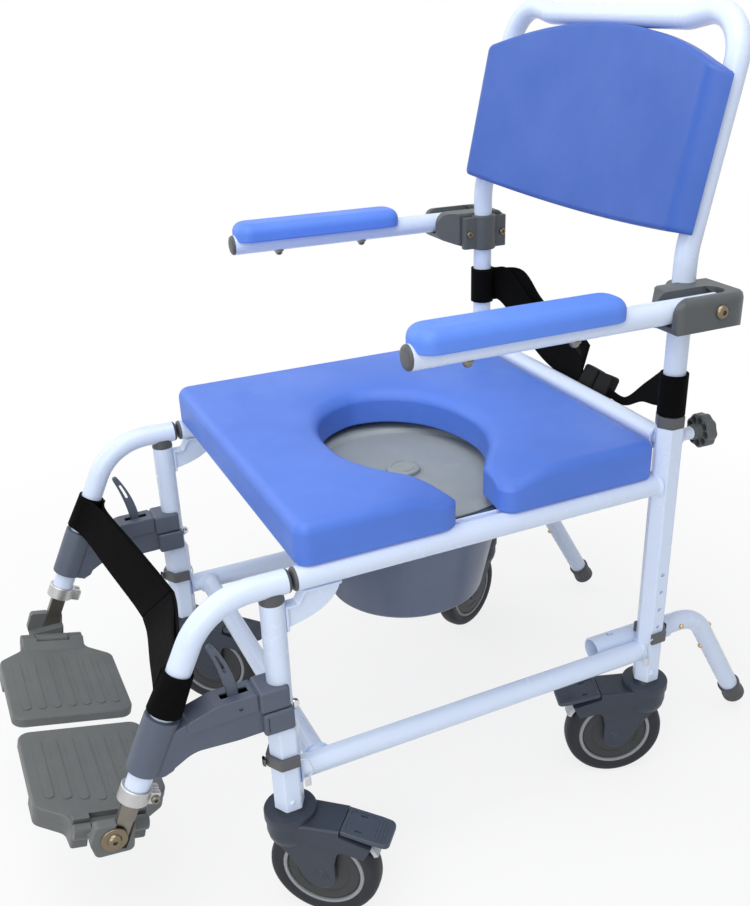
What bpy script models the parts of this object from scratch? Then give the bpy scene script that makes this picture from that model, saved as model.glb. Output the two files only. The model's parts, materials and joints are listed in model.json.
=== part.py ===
# Shower commode chair on four braked casters, with swing-away footrests, flip-up arms,
# a lift-off back, a side-opening seat over a pail, and anti-tip legs.
# Metres, +Z up, front towards -Y, the chair's left towards +X. Every piece is drawn in chair
# coordinates (floor at z = 0, front legs at y = 0), and the whole chair is centred at the end.
import math

import bmesh
import bpy
from mathutils import Matrix, Vector

# Fits and facets
GAP = 0.0003            # between pieces that touch
WELD = 0.001            # how far joined shapes and cutters run into each other
SIDES = 12              # facets round a tube
TUBE_FACETS = 4         # bevel resolution that gives a tube the same facets
BEND_STEP = math.radians(18)
CROWN_STEPS = 5         # rounds of a pad's edge
EDGE_STEPS = 2
STRAP_STEPS = 5         # lengths between two points of a strap

# Frame
TUBE_R = 0.0127         # one inch tube
CROSS_R = 0.012         # cross tubes
HEX_FLATS = 0.030       # leg tube across its flats
LEG_SPAN = 0.430        # between the leg axes across the chair
WHEELBASE = 0.484       # between the front and the rear leg axes
SEAT_RAIL_Z = 0.420
RAIL_FRONT = 0.0255     # front end of a seat rail
SEAT_CROSS_Y = 0.060    # cross tube under the front of the seat
PLUG_H = 0.0047         # end plug on the front leg, under the footrest hanger
SLEEVE_LEN = 0.103      # hexagonal foot of the front leg
SLEEVE_TAPER = 0.008
REAR_LEG_TOP = 0.492
LOWER_RAIL_RISE = 0.043  # lower rail axis above the leg's bottom
LOWER_CROSS_Y = 0.038
BACK_CROSS_Z = 0.472
GUSSET_T = 0.009
GUSSET_REACH = 0.047    # along the rail, from its front end
GUSSET_H = 0.026
BOSS_R = 0.0075
BOSS_LEN = 0.018
SCREW_R = 0.004         # knob screws and arm bolts

# Casters
WHEEL_R = 0.0635
TYRE_W = 0.028
AXLE_R = 0.005
TRAIL = 0.038
FORK_W = 0.046
FORK_ROOM = 0.0035      # between the tyre and the fork
CROWN_H = 0.013         # fork above the tyre
COLLAR_R = 0.029
COLLAR_H = 0.014
NECK_R = 0.014
NECK_H = 0.004
STEM_R = 0.010
STEM_LEN = 0.150
PEDAL_REACH = 0.116
PEDAL_W = 0.040
PEDAL_T = 0.006
CASTER_TURN = {"front_left": -41, "front_right": -37, "rear_left": 159, "rear_right": 207}

# Height clips
CLIP_RISE = 0.060       # clip's lower edge above the leg's bottom
CLIP_H = 0.013
CLIP_T = 0.004

# Footrests
HANGER_BACK = 0.016     # hanger's end behind the leg axis
HANGER_FRONT = 0.066    # hanger's corner ahead of the leg axis
HANGER_BEND = 0.075
HANGER_LEAN = math.radians(25)
HANGER_DROP = 0.228     # from the corner down the slope
PIN_R = 0.009
BRACKET_R = 0.018
BRACKET_LEN = 0.062
BRACKET_FROM = 0.125    # bracket's sleeve, down the slope
ARM_T = 0.024
BLOCK_W = 0.042
BLOCK_H = 0.054
BLOCK_BACK = 0.009
BLOCK_FRONT = 0.024
LEVER_T = 0.008
LEVER_H = 0.078
LEVER_Y = 0.048         # lever's pivot ahead of the leg axis
LEVER_W = 0.010
CLAMP_R = 0.016
CLAMP_H = 0.016
CLAMP_FROM = 0.206
CLAMP_EAR = 0.015
POST_W = 0.018
POST_T = 0.008
POST_IN = 0.068         # post inside the tube
POST_OUT = 0.047        # from the tube's end to the footplate's pivot
PIVOT_IN = 0.0175       # pivot block, inboard of the leg axis
PIVOT_OUT = 0.0065
PIVOT_HALF = 0.023
PIVOT_LOW = 0.011       # below and above the hinge
PIVOT_HIGH = 0.028
HINGE_IN = 0.025        # plate hinge inboard of the leg axis
HINGE_R = 0.007
BARREL_LEN = 0.040
KNUCKLE_LEN = 0.0177
KNUCKLE_SINK = 0.0015
PLATE_T = 0.012
PLATE_W = 0.137         # fore and aft
PLATE_NECK = 0.047      # length of the plate's narrowing end
PLATE_END = 0.012       # inner edge from the chair's middle
PLATE_CORNER = 0.014
PLATE_TILT = math.radians(13.7)  # toe edge raised
STRAP_W = 0.047
STRAP_T = 0.004
STRAP_FROM = 0.075      # calf strap's loop, down the slope
STRAP_SAG = 0.040
STRAP_BACK = 0.020

# Seat, pail and lid
SEAT_W = 0.446
SEAT_FRONT = 0.028
SEAT_CLEAR = 0.020      # seat's rear edge ahead of the rear leg axis
SEAT_CORNER = 0.016
SEAT_SIDE = 0.033       # upright part of the seat's side
SEAT_CROWN = 0.013      # rounded part above it
SEAT_EDGE = 0.013       # width of the rounding
OPENING_EDGE = [(0.188, 0.205), (0.166, 0.1855), (0.142, 0.1675), (0.113, 0.151), (0.080, 0.142),
                (0.045, 0.1385), (0.010, 0.140), (-0.022, 0.1475), (-0.050, 0.162), (-0.072, 0.1845),
                (-0.0855, 0.2125), (-0.0868, 0.232), (-0.081, 0.257), (-0.066, 0.281),
                (-0.040, 0.303), (0, 0.3185), (0.045, 0.3235), (0.085, 0.3185), (0.120, 0.303),
                (0.146, 0.283), (0.168, 0.266)]
CHANNEL_FRONT = 0.213
CHANNEL_REAR = 0.262
LOBE_R = 0.018
SHELF_DROP = 0.003      # pail shelf below the seat rail axis
SHELF_T = 0.003
SHELF_LAP = 0.0117      # shelf under the pail's rim
SHELF_FROM = 0.090
SHELF_CLEAR = 0.064     # shelf's rear end ahead of the rear leg axis
PAIL_X = 0.0387         # pail towards the side where the seat opens
PAIL_Y = 0.2300
PAIL_R = 0.1275
PAIL_FOOT_R = 0.0962
PAIL_RIM_R = 0.1473
PAIL_RIM_T = 0.004
PAIL_H = 0.1535
PAIL_WALL = 0.003
LID_R = 0.1435
LID_T = 0.003
LID_DISH = 0.007        # middle of the lid below its rim
LID_CLEAR = 0.003       # between the lid's dish and the pail's wall
LID_KNOB_R = 0.0205
LID_KNOB_H = 0.007

# Back and arms
CANE_IN = 0.092         # cane inside the rear leg
CANE_BEND_Z = 0.690
CANE_LEAN = math.radians(12.3)
BACK_TOP = 0.250        # from the bend up the leaning cane
BACK_DIP = 0.016        # push bar below its corners
BACK_DIP_X = 0.130
PAD_HALF = 0.234
PAD_FROM = 0.0175       # back pad's lower edge above the bend
PAD_SIDE_H = 0.1625
PAD_ARCH = 0.040
PAD_FACE = 0.0225       # pad in front of the canes
PAD_BOW = 0.018
PAD_DEEP = 0.024
PAD_SOFT = 0.006        # rounding of the back pad's edges
PAD_COLUMNS = 20
PAD_ROWS = 8
PAD_WRAP = 0.8          # share of the columns on the pad's face, the rest on its flanges
FLANGE_T = 0.003
FLANGE_END = 0.0160     # flange's rear edge ahead of the cane axis
ARM_OUT = 0.043         # arm tube outboard of the cane
ARM_Z = 0.643
ARM_PIVOT = 0.006       # arm bolt ahead of the cane
ARM_LEN = 0.3445        # from the bolt to the tube's front
ARM_TAIL = 0.0125
MOUNT_H = 0.056         # arm bracket
MOUNT_WALL = 0.005
MOUNT_FRONT = 0.060
MOUNT_BACK = 0.050
MOUNT_ROLL = 0.0188     # room for the arm's end to turn
GRIP_R = 0.020
GRIP_HALF = 0.034
GRIP_DEEP = 0.018
HEAD_R = 0.0075
HEAD_H = 0.004
ARM_PAD_W = 0.048
ARM_PAD_L = 0.2325
ARM_PAD_BACK = 0.002    # pad behind the tube's front end
ARM_PAD_RISE = 0.005    # pad's lower edge above the tube axis
ARM_PAD_SIDE = 0.010
ARM_PAD_CROWN = 0.0125
ARM_PAD_EDGE = 0.0125

# Belt and knobs
BELT_T = 0.0035
BELT_W = 0.048
BELT_RISE = 0.015       # belt's left loop above the rear leg
BELT_HIGH = 0.041       # belt's right loop above the rear leg
BELT_Y = 0.026          # belt behind the canes
BUCKLE_X = 0.059
BUCKLE_W = 0.050
BUCKLE_L = 0.064
BUCKLE_T = 0.016
BUCKLE_DROP = 0.004     # buckle's middle below the top of the rear legs
KNOB_R = 0.019
KNOB_LOBE = 0.0014
KNOB_LOBES = 8
KNOB_T = 0.014
KNOB_HUB = 0.009        # hub between the boss and the lobed head
KNOB_HUB_R = 0.009
KNOB_RISE = -0.016      # from the rear leg's top

# Anti-tip legs
SOCKET_R = 0.0152
SOCKET_FRONT = 0.066    # ahead of the rear leg axis
SOCKET_BACK = 0.051
TIP_IN = 0.040          # tube's front end ahead of the rear leg axis
TIP_CORNER = 0.101      # bend behind the rear leg axis
TIP_BEND = 0.050
TIP_LEAN = math.radians(30)
TIP_LEG = 0.181
CUP_R = 0.0155
CUP_H = 0.022
CUP_SOLE = 0.006

# Places worked out from the sizes above
LEG_X = LEG_SPAN / 2
FORK_TOP = 2 * WHEEL_R + CROWN_H
LEG_BOTTOM = FORK_TOP + NECK_H
SLEEVE_TOP = LEG_BOTTOM + SLEEVE_LEN
LOWER_RAIL_Z = LEG_BOTTOM + LOWER_RAIL_RISE
FRONT_LEG_TOP = SEAT_RAIL_Z - TUBE_R - PLUG_H
SEAT_BASE = SEAT_RAIL_Z + TUBE_R + GAP
SEAT_REAR = WHEELBASE - SEAT_CLEAR
SHELF_LEN = WHEELBASE - SHELF_CLEAR - SHELF_FROM
SHELF_Z = SEAT_RAIL_Z - SHELF_DROP
KNOB_Z = REAR_LEG_TOP + KNOB_RISE
CLIP_Z = LEG_BOTTOM + CLIP_RISE
SLOPE = Vector((0, -math.sin(HANGER_LEAN), -math.cos(HANGER_LEAN)))
SLOPE_TOP = Vector((LEG_X, -HANGER_FRONT, SEAT_RAIL_Z))
PLATE_HINGE = SLOPE_TOP + (HANGER_DROP + POST_OUT) * SLOPE - Vector((HINGE_IN, 0, 0))
TILT = (Matrix.Translation(PLATE_HINGE) @ Matrix.Rotation(-PLATE_TILT, 4, "X")
        @ Matrix.Translation(-PLATE_HINGE))
LEVER_PIVOT = Vector((LEG_X, -LEVER_Y, SLEEVE_TOP + SLEEVE_TAPER + 0.8 * BLOCK_H))
ARM_X = LEG_X + ARM_OUT
ARM_BOLT = Vector((ARM_X, WHEELBASE - ARM_PIVOT, ARM_Z))
SOCKET_X = LEG_X - HEX_FLATS / 2 - SOCKET_R + WELD
PAIL_RIM_Z = SHELF_Z + GAP + PAIL_RIM_T

FINISHES = {
    "white_powder_coat": ((0.86, 0.88, 0.93), 0.28, 0.0),
    "blue_polyurethane": ((0.10, 0.22, 0.72), 0.45, 0.0),
    "grey_plastic": ((0.13, 0.135, 0.14), 0.5, 0.0),
    "dark_plastic": ((0.045, 0.047, 0.05), 0.5, 0.0),
    "footplate_plastic": ((0.14, 0.14, 0.13), 0.55, 0.0),
    "pail_plastic": ((0.16, 0.165, 0.175), 0.4, 0.0),
    "lid_plastic": ((0.33, 0.31, 0.27), 0.4, 0.0),
    "tyre_rubber": ((0.02, 0.022, 0.025), 0.6, 0.0),
    "tip_rubber": ((0.07, 0.07, 0.075), 0.7, 0.0),
    "black_webbing": ((0.008, 0.008, 0.009), 0.85, 0.0),
    "aluminium": ((0.62, 0.62, 0.63), 0.35, 1.0),
    "chrome": ((0.75, 0.74, 0.70), 0.15, 1.0),
}

for old in list(bpy.data.objects):
    bpy.data.objects.remove(old)
CHAIR = bpy.data.collections.new("shower_commode_chair")
CUTTERS = bpy.data.collections.new("cutters")
for collection in (CHAIR, CUTTERS):
    bpy.context.scene.collection.children.link(collection)


# Making solids

def work(mesh):
    """A working object, hidden from renders until it becomes a piece."""
    piece = bpy.data.objects.new("work", mesh)
    piece.hide_render = True
    piece.display_type = "WIRE"
    CUTTERS.objects.link(piece)
    return piece


def baked(piece, weld=0.0):
    """Replaces an object by the mesh it evaluates to, with its faces pointing out."""
    graph = bpy.context.evaluated_depsgraph_get()
    mesh = bpy.data.meshes.new_from_object(piece.evaluated_get(graph))
    form = bmesh.new()
    form.from_mesh(mesh)
    if weld:
        bmesh.ops.remove_doubles(form, verts=form.verts, dist=weld)
    bmesh.ops.recalc_face_normals(form, faces=form.faces)
    form.to_mesh(mesh)
    form.free()
    bpy.data.objects.remove(piece)
    return work(mesh)


def from_form(form):
    bmesh.ops.recalc_face_normals(form, faces=form.faces)
    mesh = bpy.data.meshes.new("form")
    form.to_mesh(mesh)
    form.free()
    return work(mesh)


def rod(start, end, radius, sides=SIDES, end_radius=None):
    start = Vector(start)
    end = Vector(end)
    axis = end - start
    form = bmesh.new()
    bmesh.ops.create_cone(form, cap_ends=True, segments=sides, radius1=radius,
                          radius2=radius if end_radius is None else end_radius, depth=axis.length)
    turn = Vector((0, 0, 1)).rotation_difference(axis).to_matrix().to_4x4()
    bmesh.ops.transform(form, matrix=Matrix.Translation((start + end) / 2) @ turn, verts=form.verts)
    return from_form(form)


def bore(start, end, radius, sides=SIDES):
    """A cutter whose flats, and not its corners, lie at the radius."""
    return rod(start, end, radius / math.cos(math.pi / sides), sides)


def hexagon(flats, x, y, low, high, top_flats=None):
    corner = 1 / math.sqrt(3)
    top = flats if top_flats is None else top_flats
    return rod((x, y, low), (x, y, high), flats * corner, 6, top * corner)


def box(low, high):
    low = Vector(low)
    high = Vector(high)
    form = bmesh.new()
    bmesh.ops.create_cube(form, size=1)
    bmesh.ops.scale(form, vec=high - low, verts=form.verts)
    bmesh.ops.translate(form, vec=(low + high) / 2, verts=form.verts)
    return from_form(form)


def spline_object(points, cyclic, dimensions):
    curve = bpy.data.curves.new("spline", "CURVE")
    curve.dimensions = dimensions
    spline = curve.splines.new("POLY")
    spline.points.add(len(points) - 1)
    for slot, point in zip(spline.points, points):
        slot.co = (*point, 1) if len(point) == 3 else (*point, 0, 1)
    spline.use_cyclic_u = cyclic
    piece = bpy.data.objects.new("spline", curve)
    CUTTERS.objects.link(piece)
    return piece


def tube(points, radius):
    piece = spline_object(points, False, "3D")
    piece.data.bevel_depth = radius
    piece.data.bevel_resolution = TUBE_FACETS
    piece.data.use_fill_caps = True
    return baked(piece, weld=1e-5)


PLAN = Matrix.Identity(4)
SIDE_VIEW = Matrix(((0, 0, 1, 0), (1, 0, 0, 0), (0, 1, 0, 0), (0, 0, 0, 1)))
REAR_VIEW = Matrix(((1, 0, 0, 0), (0, 0, -1, 0), (0, 1, 0, 0), (0, 0, 0, 1)))


def plate(outline, thickness, view, offset=(0, 0, 0)):
    """A filled outline with a thickness, drawn in plan, from the side or from the rear."""
    piece = spline_object(outline, True, "2D")
    piece.data.fill_mode = "BOTH"
    piece.data.extrude = thickness / 2
    piece = baked(piece, weld=1e-5)
    piece.data.transform(Matrix.Translation(offset) @ view)
    return piece


def turned(profile, steps, closed):
    """A profile of (radius, height) points turned about Z."""
    mesh = bpy.data.meshes.new("profile")
    count = len(profile)
    edges = [(i, (i + 1) % count) for i in range(count if closed else count - 1)]
    mesh.from_pydata([(r, 0, z) for r, z in profile], edges, [])
    piece = work(mesh)
    screw = piece.modifiers.new("turn", "SCREW")
    screw.steps = steps
    screw.render_steps = steps
    screw.use_merge_vertices = True
    screw.merge_threshold = 1e-5
    return baked(piece, weld=1e-6)


def combined(target, tools, operation):
    for tool in tools:
        modifier = target.modifiers.new("combine", "BOOLEAN")
        modifier.operation = operation
        modifier.object = tool
    target = baked(target)
    for tool in tools:
        bpy.data.objects.remove(tool)
    return target


def joined(first, *others):
    return combined(first, others, "UNION")


def cut(target, *tools):
    return combined(target, tools, "DIFFERENCE")


def arc(centre, radius, start, end, steps):
    """Points on a circle, between two angles in degrees."""
    angles = [math.radians(start + (end - start) * i / steps) for i in range(steps + 1)]
    return [(centre[0] + radius * math.cos(a), centre[1] + radius * math.sin(a)) for a in angles]


def bent(points, radii):
    """A path through corner points, each rounded to its radius."""
    points = [Vector(p) for p in points]
    path = [points[0]]
    for before, corner, after, radius in zip(points, points[1:], points[2:], radii):
        back = (before - corner).normalized()
        on = (after - corner).normalized()
        turn = math.pi - back.angle(on)
        reach = radius * math.tan(turn / 2)
        middle = corner + (back + on).normalized() * radius / math.cos(turn / 2)
        first = corner + back * reach - middle
        axis = first.cross(corner + on * reach - middle).normalized()
        steps = max(2, math.ceil(turn / BEND_STEP))
        for i in range(steps + 1):
            path.append(middle + Matrix.Rotation(turn * i / steps, 3, axis) @ first)
    return path + [points[-1]]


def padded(outline, base, side, edge, crown):
    """A moulded pad: an outline raised by its side, then drawn in and crowned step by step."""
    form = bmesh.new()
    rim = [form.verts.new((x, y, base)) for x, y in outline]
    top = form.faces.new(rim)
    grown = bmesh.ops.extrude_face_region(form, geom=[top])["geom"]
    raised = [g for g in grown if isinstance(g, bmesh.types.BMVert)]
    bmesh.ops.translate(form, vec=(0, 0, side), verts=raised)
    top = next(g for g in grown if isinstance(g, bmesh.types.BMFace))
    if top.normal.z < 0:
        top.normal_flip()
    angles = [math.pi / 2 * i / CROWN_STEPS for i in range(CROWN_STEPS + 1)]
    for a, b in zip(angles, angles[1:]):
        inset = edge * (math.cos(a) - math.cos(b))
        rise = crown * (math.sin(b) - math.sin(a))
        bmesh.ops.inset_region(form, faces=[top], thickness=inset, use_even_offset=True)
        bmesh.ops.translate(form, vec=(0, 0, rise), verts=top.verts)
    return from_form(form)


def ribbon(path, widths, thickness):
    """A flat strap on edge: a grid laid along a path, as wide as stated at each point."""
    form = bmesh.new()
    count = len(path)
    bmesh.ops.create_grid(form, x_segments=count - 1, y_segments=1, size=0.5)
    for vert in form.verts:
        step = round((vert.co.x + 0.5) * (count - 1))
        side = 1 if vert.co.y > 0 else -1
        vert.co = Vector(path[step]) + Vector((0, 0, side * widths[step] / 2))
    piece = from_form(form)
    shell = piece.modifiers.new("thickness", "SOLIDIFY")
    shell.thickness = thickness
    shell.offset = 0
    return baked(piece)


def smooth_path(points, steps):
    """A smooth run through a few points, for a strap that hangs."""
    ends = [2 * Vector(points[0]) - Vector(points[1])]
    ends += [Vector(p) for p in points]
    ends.append(2 * Vector(points[-1]) - Vector(points[-2]))
    path = []
    for a, b, c, d in zip(ends, ends[1:], ends[2:], ends[3:]):
        for i in range(steps):
            t = i / steps
            path.append(0.5 * (2 * b + (c - a) * t + (2 * a - 5 * b + 4 * c - d) * t * t
                               + (3 * b - a - 3 * c + d) * t ** 3))
    return path + [ends[-2]]


def mirrored(piece):
    """The right hand twin of a left hand solid."""
    twin = work(piece.data.copy())
    twin.data.transform(Matrix.Scale(-1, 4, (1, 0, 0)))
    twin.data.flip_normals()
    return twin


# Bodies and pieces

PLACES = {}             # where each body's axis stands in chair coordinates


def empty(name, place, parent=None):
    anchor = bpy.data.objects.new(name, None)
    anchor.empty_display_size = 0.02
    anchor.location = place
    CHAIR.objects.link(anchor)
    if parent is not None:
        anchor.parent = parent
        anchor.matrix_parent_inverse = Matrix.Translation(-PLACES[parent.name])
    PLACES[name] = Vector(place)
    return anchor


MATERIALS = {}
for finish_name, (colour, roughness, metallic) in FINISHES.items():
    material = bpy.data.materials.new(finish_name)
    material.use_nodes = True
    shader = material.node_tree.nodes["Principled BSDF"]
    shader.inputs["Base Color"].default_value = (*colour, 1)
    shader.inputs["Roughness"].default_value = roughness
    shader.inputs["Metallic"].default_value = metallic
    material.diffuse_color = (*colour, 1)
    MATERIALS[finish_name] = material


def keep(name, piece, finish, parent):
    """Names a finished solid, gives it its material and hangs it on its body."""
    piece.name = name
    piece.data.name = name
    piece.hide_render = False
    piece.display_type = "TEXTURED"
    piece.data.materials.clear()
    piece.data.materials.append(MATERIALS[finish])
    piece.data.shade_smooth()
    piece.data.set_sharp_from_angle(angle=math.radians(40))
    CUTTERS.objects.unlink(piece)
    CHAIR.objects.link(piece)
    piece.parent = parent
    piece.matrix_parent_inverse = Matrix.Translation(-PLACES[parent.name])
    return piece


def keep_pair(name, left, finish, parents):
    """A left hand solid and its mirror image."""
    right = mirrored(left)
    keep(name + "_left", left, finish, parents["left"])
    keep(name + "_right", right, finish, parents["right"])


def side_place(side, place):
    place = Vector(place)
    return place if side == "left" else Vector((-place.x, place.y, place.z))


def body_pair(name, place, parents):
    return {side: empty(f"{name}_{side}_axis", side_place(side, place), parents[side])
            for side in ("left", "right")}


ROOT = empty("chair", (0, 0, 0))
FRAME = {"left": ROOT, "right": ROOT}


# Front legs: a round tube in a hexagonal foot, with a gusset plate up to the seat rail

def front_leg():
    foot = hexagon(HEX_FLATS, LEG_X, 0, LEG_BOTTOM, SLEEVE_TOP)
    taper = hexagon(HEX_FLATS, LEG_X, 0, SLEEVE_TOP, SLEEVE_TOP + SLEEVE_TAPER, 2 * TUBE_R)
    post = rod((LEG_X, 0, SLEEVE_TOP - WELD), (LEG_X, 0, FRONT_LEG_TOP), TUBE_R)
    under = SEAT_RAIL_Z - TUBE_R - GAP
    high = FRONT_LEG_TOP - 2 * PLUG_H
    low = high - GUSSET_H
    inside = TUBE_R / 2
    reach = RAIL_FRONT + GUSSET_REACH
    start = Vector((TUBE_R, low))
    swell = Vector((reach - inside, low + GUSSET_H / 3))
    end = Vector((reach, under))
    edge = []
    for i in range(6):
        t = i / 5
        edge.append((1 - t) ** 2 * start + 2 * t * (1 - t) * swell + t * t * end)
    outline = [(inside, high), (inside, low)] + [tuple(p) for p in edge]
    outline += [(RAIL_FRONT + inside, under), (RAIL_FRONT, high)]
    gusset = plate(outline, GUSSET_T, SIDE_VIEW, (LEG_X, 0, 0))
    leg = joined(foot, taper, post, gusset)
    stem_room = bore((LEG_X, 0, LEG_BOTTOM - WELD), (LEG_X, 0, LEG_BOTTOM + STEM_LEN + WELD),
                     STEM_R + GAP)
    return cut(leg, stem_room)


keep_pair("front_leg", front_leg(), "white_powder_coat", FRAME)


# Rear frame: two hexagonal legs, the cross tube, the knob bosses and the anti-tip sockets

def rear_frame():
    legs = []
    rooms = []
    for x in (LEG_X, -LEG_X):
        side = 1 if x > 0 else -1
        socket_x = side * SOCKET_X
        back = WHEELBASE + HEX_FLATS / 2
        legs.append(hexagon(HEX_FLATS, x, WHEELBASE, LEG_BOTTOM, REAR_LEG_TOP))
        legs.append(rod((x, WHEELBASE + TUBE_R + WELD, KNOB_Z), (x, back + BOSS_LEN, KNOB_Z), BOSS_R))
        legs.append(rod((socket_x, WHEELBASE - SOCKET_FRONT, LOWER_RAIL_Z),
                        (socket_x, WHEELBASE + SOCKET_BACK, LOWER_RAIL_Z), SOCKET_R))
        rooms.append(bore((x, WHEELBASE, LEG_BOTTOM - WELD),
                          (x, WHEELBASE, LEG_BOTTOM + STEM_LEN + WELD), STEM_R + GAP))
        rooms.append(bore((x, WHEELBASE, REAR_LEG_TOP - CANE_IN - GAP),
                          (x, WHEELBASE, REAR_LEG_TOP + WELD), TUBE_R + GAP))
        rooms.append(bore((socket_x, WHEELBASE - SOCKET_FRONT - WELD, LOWER_RAIL_Z),
                          (socket_x, WHEELBASE + SOCKET_BACK + WELD, LOWER_RAIL_Z), TUBE_R + GAP))
        rooms.append(bore((x, WHEELBASE, KNOB_Z), (x, back + BOSS_LEN + WELD, KNOB_Z), SCREW_R + GAP))
    inner = LEG_X - TUBE_R - GAP - WELD
    cross = rod((-inner, WHEELBASE, BACK_CROSS_Z), (inner, WHEELBASE, BACK_CROSS_Z), CROSS_R)
    return cut(joined(cross, *legs), *rooms)


keep("rear_frame", rear_frame(), "white_powder_coat", ROOT)


def leg_rooms(y, low, high):
    """Cutters that end a tube on the flats of a pair of hexagonal legs."""
    return [hexagon(HEX_FLATS + 2 * GAP, x, y, low, high) for x in (LEG_X, -LEG_X)]


# Lower frame: a rail on each side and one cross tube near the front

def lower_frame():
    z = LOWER_RAIL_Z
    rails = [rod((x, 0, z), (x, WHEELBASE, z), TUBE_R) for x in (LEG_X, -LEG_X)]
    cross = rod((-LEG_X, LOWER_CROSS_Y, z), (LEG_X, LOWER_CROSS_Y, z), CROSS_R)
    frame = joined(cross, *rails)
    low = z - 2 * TUBE_R
    high = z + 2 * TUBE_R
    sockets = [rod((x, WHEELBASE - SOCKET_FRONT - WELD, z), (x, WHEELBASE, z), SOCKET_R + GAP)
               for x in (SOCKET_X, -SOCKET_X)]
    return cut(frame, *leg_rooms(0, low, high), *leg_rooms(WHEELBASE, low, high), *sockets)


keep("lower_frame", lower_frame(), "white_powder_coat", ROOT)


# Seat frame: side rails, a front cross tube and the two angle shelves that carry the pail

def seat_frame():
    z = SEAT_RAIL_Z
    rails = [rod((x, RAIL_FRONT, z), (x, WHEELBASE, z), TUBE_R) for x in (LEG_X, -LEG_X)]
    cross = rod((-LEG_X, SEAT_CROSS_Y, z), (LEG_X, SEAT_CROSS_Y, z), CROSS_R)
    wall = LEG_X - TUBE_R + WELD
    web = wall - SHELF_T
    top = z + TUBE_R - WELD
    shelf_end = SHELF_FROM + SHELF_LEN
    shelves = []
    for side in (1, -1):
        lip = PAIL_RIM_R - SHELF_LAP + side * PAIL_X
        outline = [(lip, SHELF_Z), (lip, SHELF_Z - SHELF_T), (wall, SHELF_Z - SHELF_T), (wall, top),
                   (web, top), (web, SHELF_Z)]
        outline = [(side * across, height) for across, height in outline]
        shelves.append(plate(outline, SHELF_LEN, REAR_VIEW, (0, shelf_end - SHELF_LEN / 2, 0)))
    frame = joined(cross, *rails, *shelves)
    return cut(frame, *leg_rooms(WHEELBASE, z - 2 * TUBE_R, z + 2 * TUBE_R))


keep("seat_frame", seat_frame(), "white_powder_coat", ROOT)


# Casters: a stem that slides in the leg, a swivel fork, a wheel and a brake pedal

def caster_stem():
    neck = rod((0, 0, FORK_TOP + GAP), (0, 0, LEG_BOTTOM - GAP), NECK_R)
    stem = rod((0, 0, LEG_BOTTOM - NECK_H / 2), (0, 0, LEG_BOTTOM + STEM_LEN), STEM_R)
    return joined(neck, stem)


PEDAL_FROM = TRAIL + 0.38 * WHEEL_R
PEDAL_Z = FORK_TOP - CROWN_H / 2
PEDAL_PIVOT = Vector((0, PEDAL_FROM + PEDAL_T / 2, PEDAL_Z - PEDAL_T / 2))
PEDAL_FALL = 0.2        # pedal's slope
HOOD_END = PEDAL_FROM + 0.035
HOOD_LIP = 0.007


def caster_fork():
    boss = 0.27 * WHEEL_R
    axle = (TRAIL, WHEEL_R)
    front = -0.95 * COLLAR_R
    shoulder = FORK_TOP - COLLAR_H / 2
    outline = [(front, shoulder), (front, FORK_TOP - 2 * COLLAR_H), (0.75 * front, 1.55 * WHEEL_R)]
    outline += [(0.05 * TRAIL, 1.3 * WHEEL_R), (0.4 * TRAIL, 1.05 * WHEEL_R)]
    outline += arc(axle, boss, 215, 370, 7)
    under = HOOD_END - HOOD_LIP
    hood_low = WHEEL_R + math.sqrt((WHEEL_R + FORK_ROOM) ** 2 - (under - TRAIL) ** 2) - HOOD_LIP
    outline += [(TRAIL + 0.9 * boss, 1.4 * WHEEL_R), (TRAIL + 1.3 * boss, 1.55 * WHEEL_R)]
    floor = PEDAL_Z - PEDAL_T - WELD
    outline += [(under, hood_low), (HOOD_END, hood_low + HOOD_LIP), (PEDAL_FROM - GAP, floor)]
    outline += [(PEDAL_FROM - GAP, PEDAL_Z), (COLLAR_R, shoulder)]
    body = plate(outline, FORK_W, SIDE_VIEW)
    collar = rod((0, 0, FORK_TOP - COLLAR_H), (0, 0, FORK_TOP), COLLAR_R, 2 * SIDES)
    room = TYRE_W / 2 + FORK_ROOM
    well = bore((-room, TRAIL, WHEEL_R), (room, TRAIL, WHEEL_R), WHEEL_R + FORK_ROOM, 2 * SIDES)
    spindle = rod((-FORK_W / 2, TRAIL, WHEEL_R), (FORK_W / 2, TRAIL, WHEEL_R), AXLE_R)
    return joined(cut(joined(body, collar), well), spindle)


def caster_wheel():
    """A wheel that stands on the flat of a facet."""
    half = TYRE_W / 2
    facets = 2 * SIDES
    tread = WHEEL_R / math.cos(math.pi / facets)
    hub = 0.3 * WHEEL_R
    hole = (AXLE_R + GAP) / math.cos(math.pi / SIDES)
    side = [(hole, half + WELD), (hub, half + WELD), (0.68 * WHEEL_R, 0.75 * half),
            (0.88 * WHEEL_R, half), (tread, 0.5 * half)]
    wheel = turned(side + [(r, -w) for r, w in reversed(side)], facets, True)
    axle = Matrix.Translation((0, TRAIL, WHEEL_R)) @ Matrix.Rotation(math.pi / 2, 4, "Y")
    wheel.data.transform(axle @ Matrix.Rotation(math.pi / facets, 4, "Z"))
    return wheel


def brake_pedal():
    length = PEDAL_REACH - PEDAL_FROM
    fall = length * PEDAL_FALL
    low = PEDAL_Z - PEDAL_T
    round_off = PEDAL_T / 3
    outline = [(PEDAL_FROM, PEDAL_Z), (PEDAL_FROM, low + round_off), (PEDAL_FROM + round_off, low),
               (PEDAL_REACH - PEDAL_T / 2, low - fall), (PEDAL_REACH, low - fall + round_off),
               (PEDAL_REACH - PEDAL_T / 2, PEDAL_Z - fall)]
    return plate(outline, PEDAL_W, SIDE_VIEW)


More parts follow.
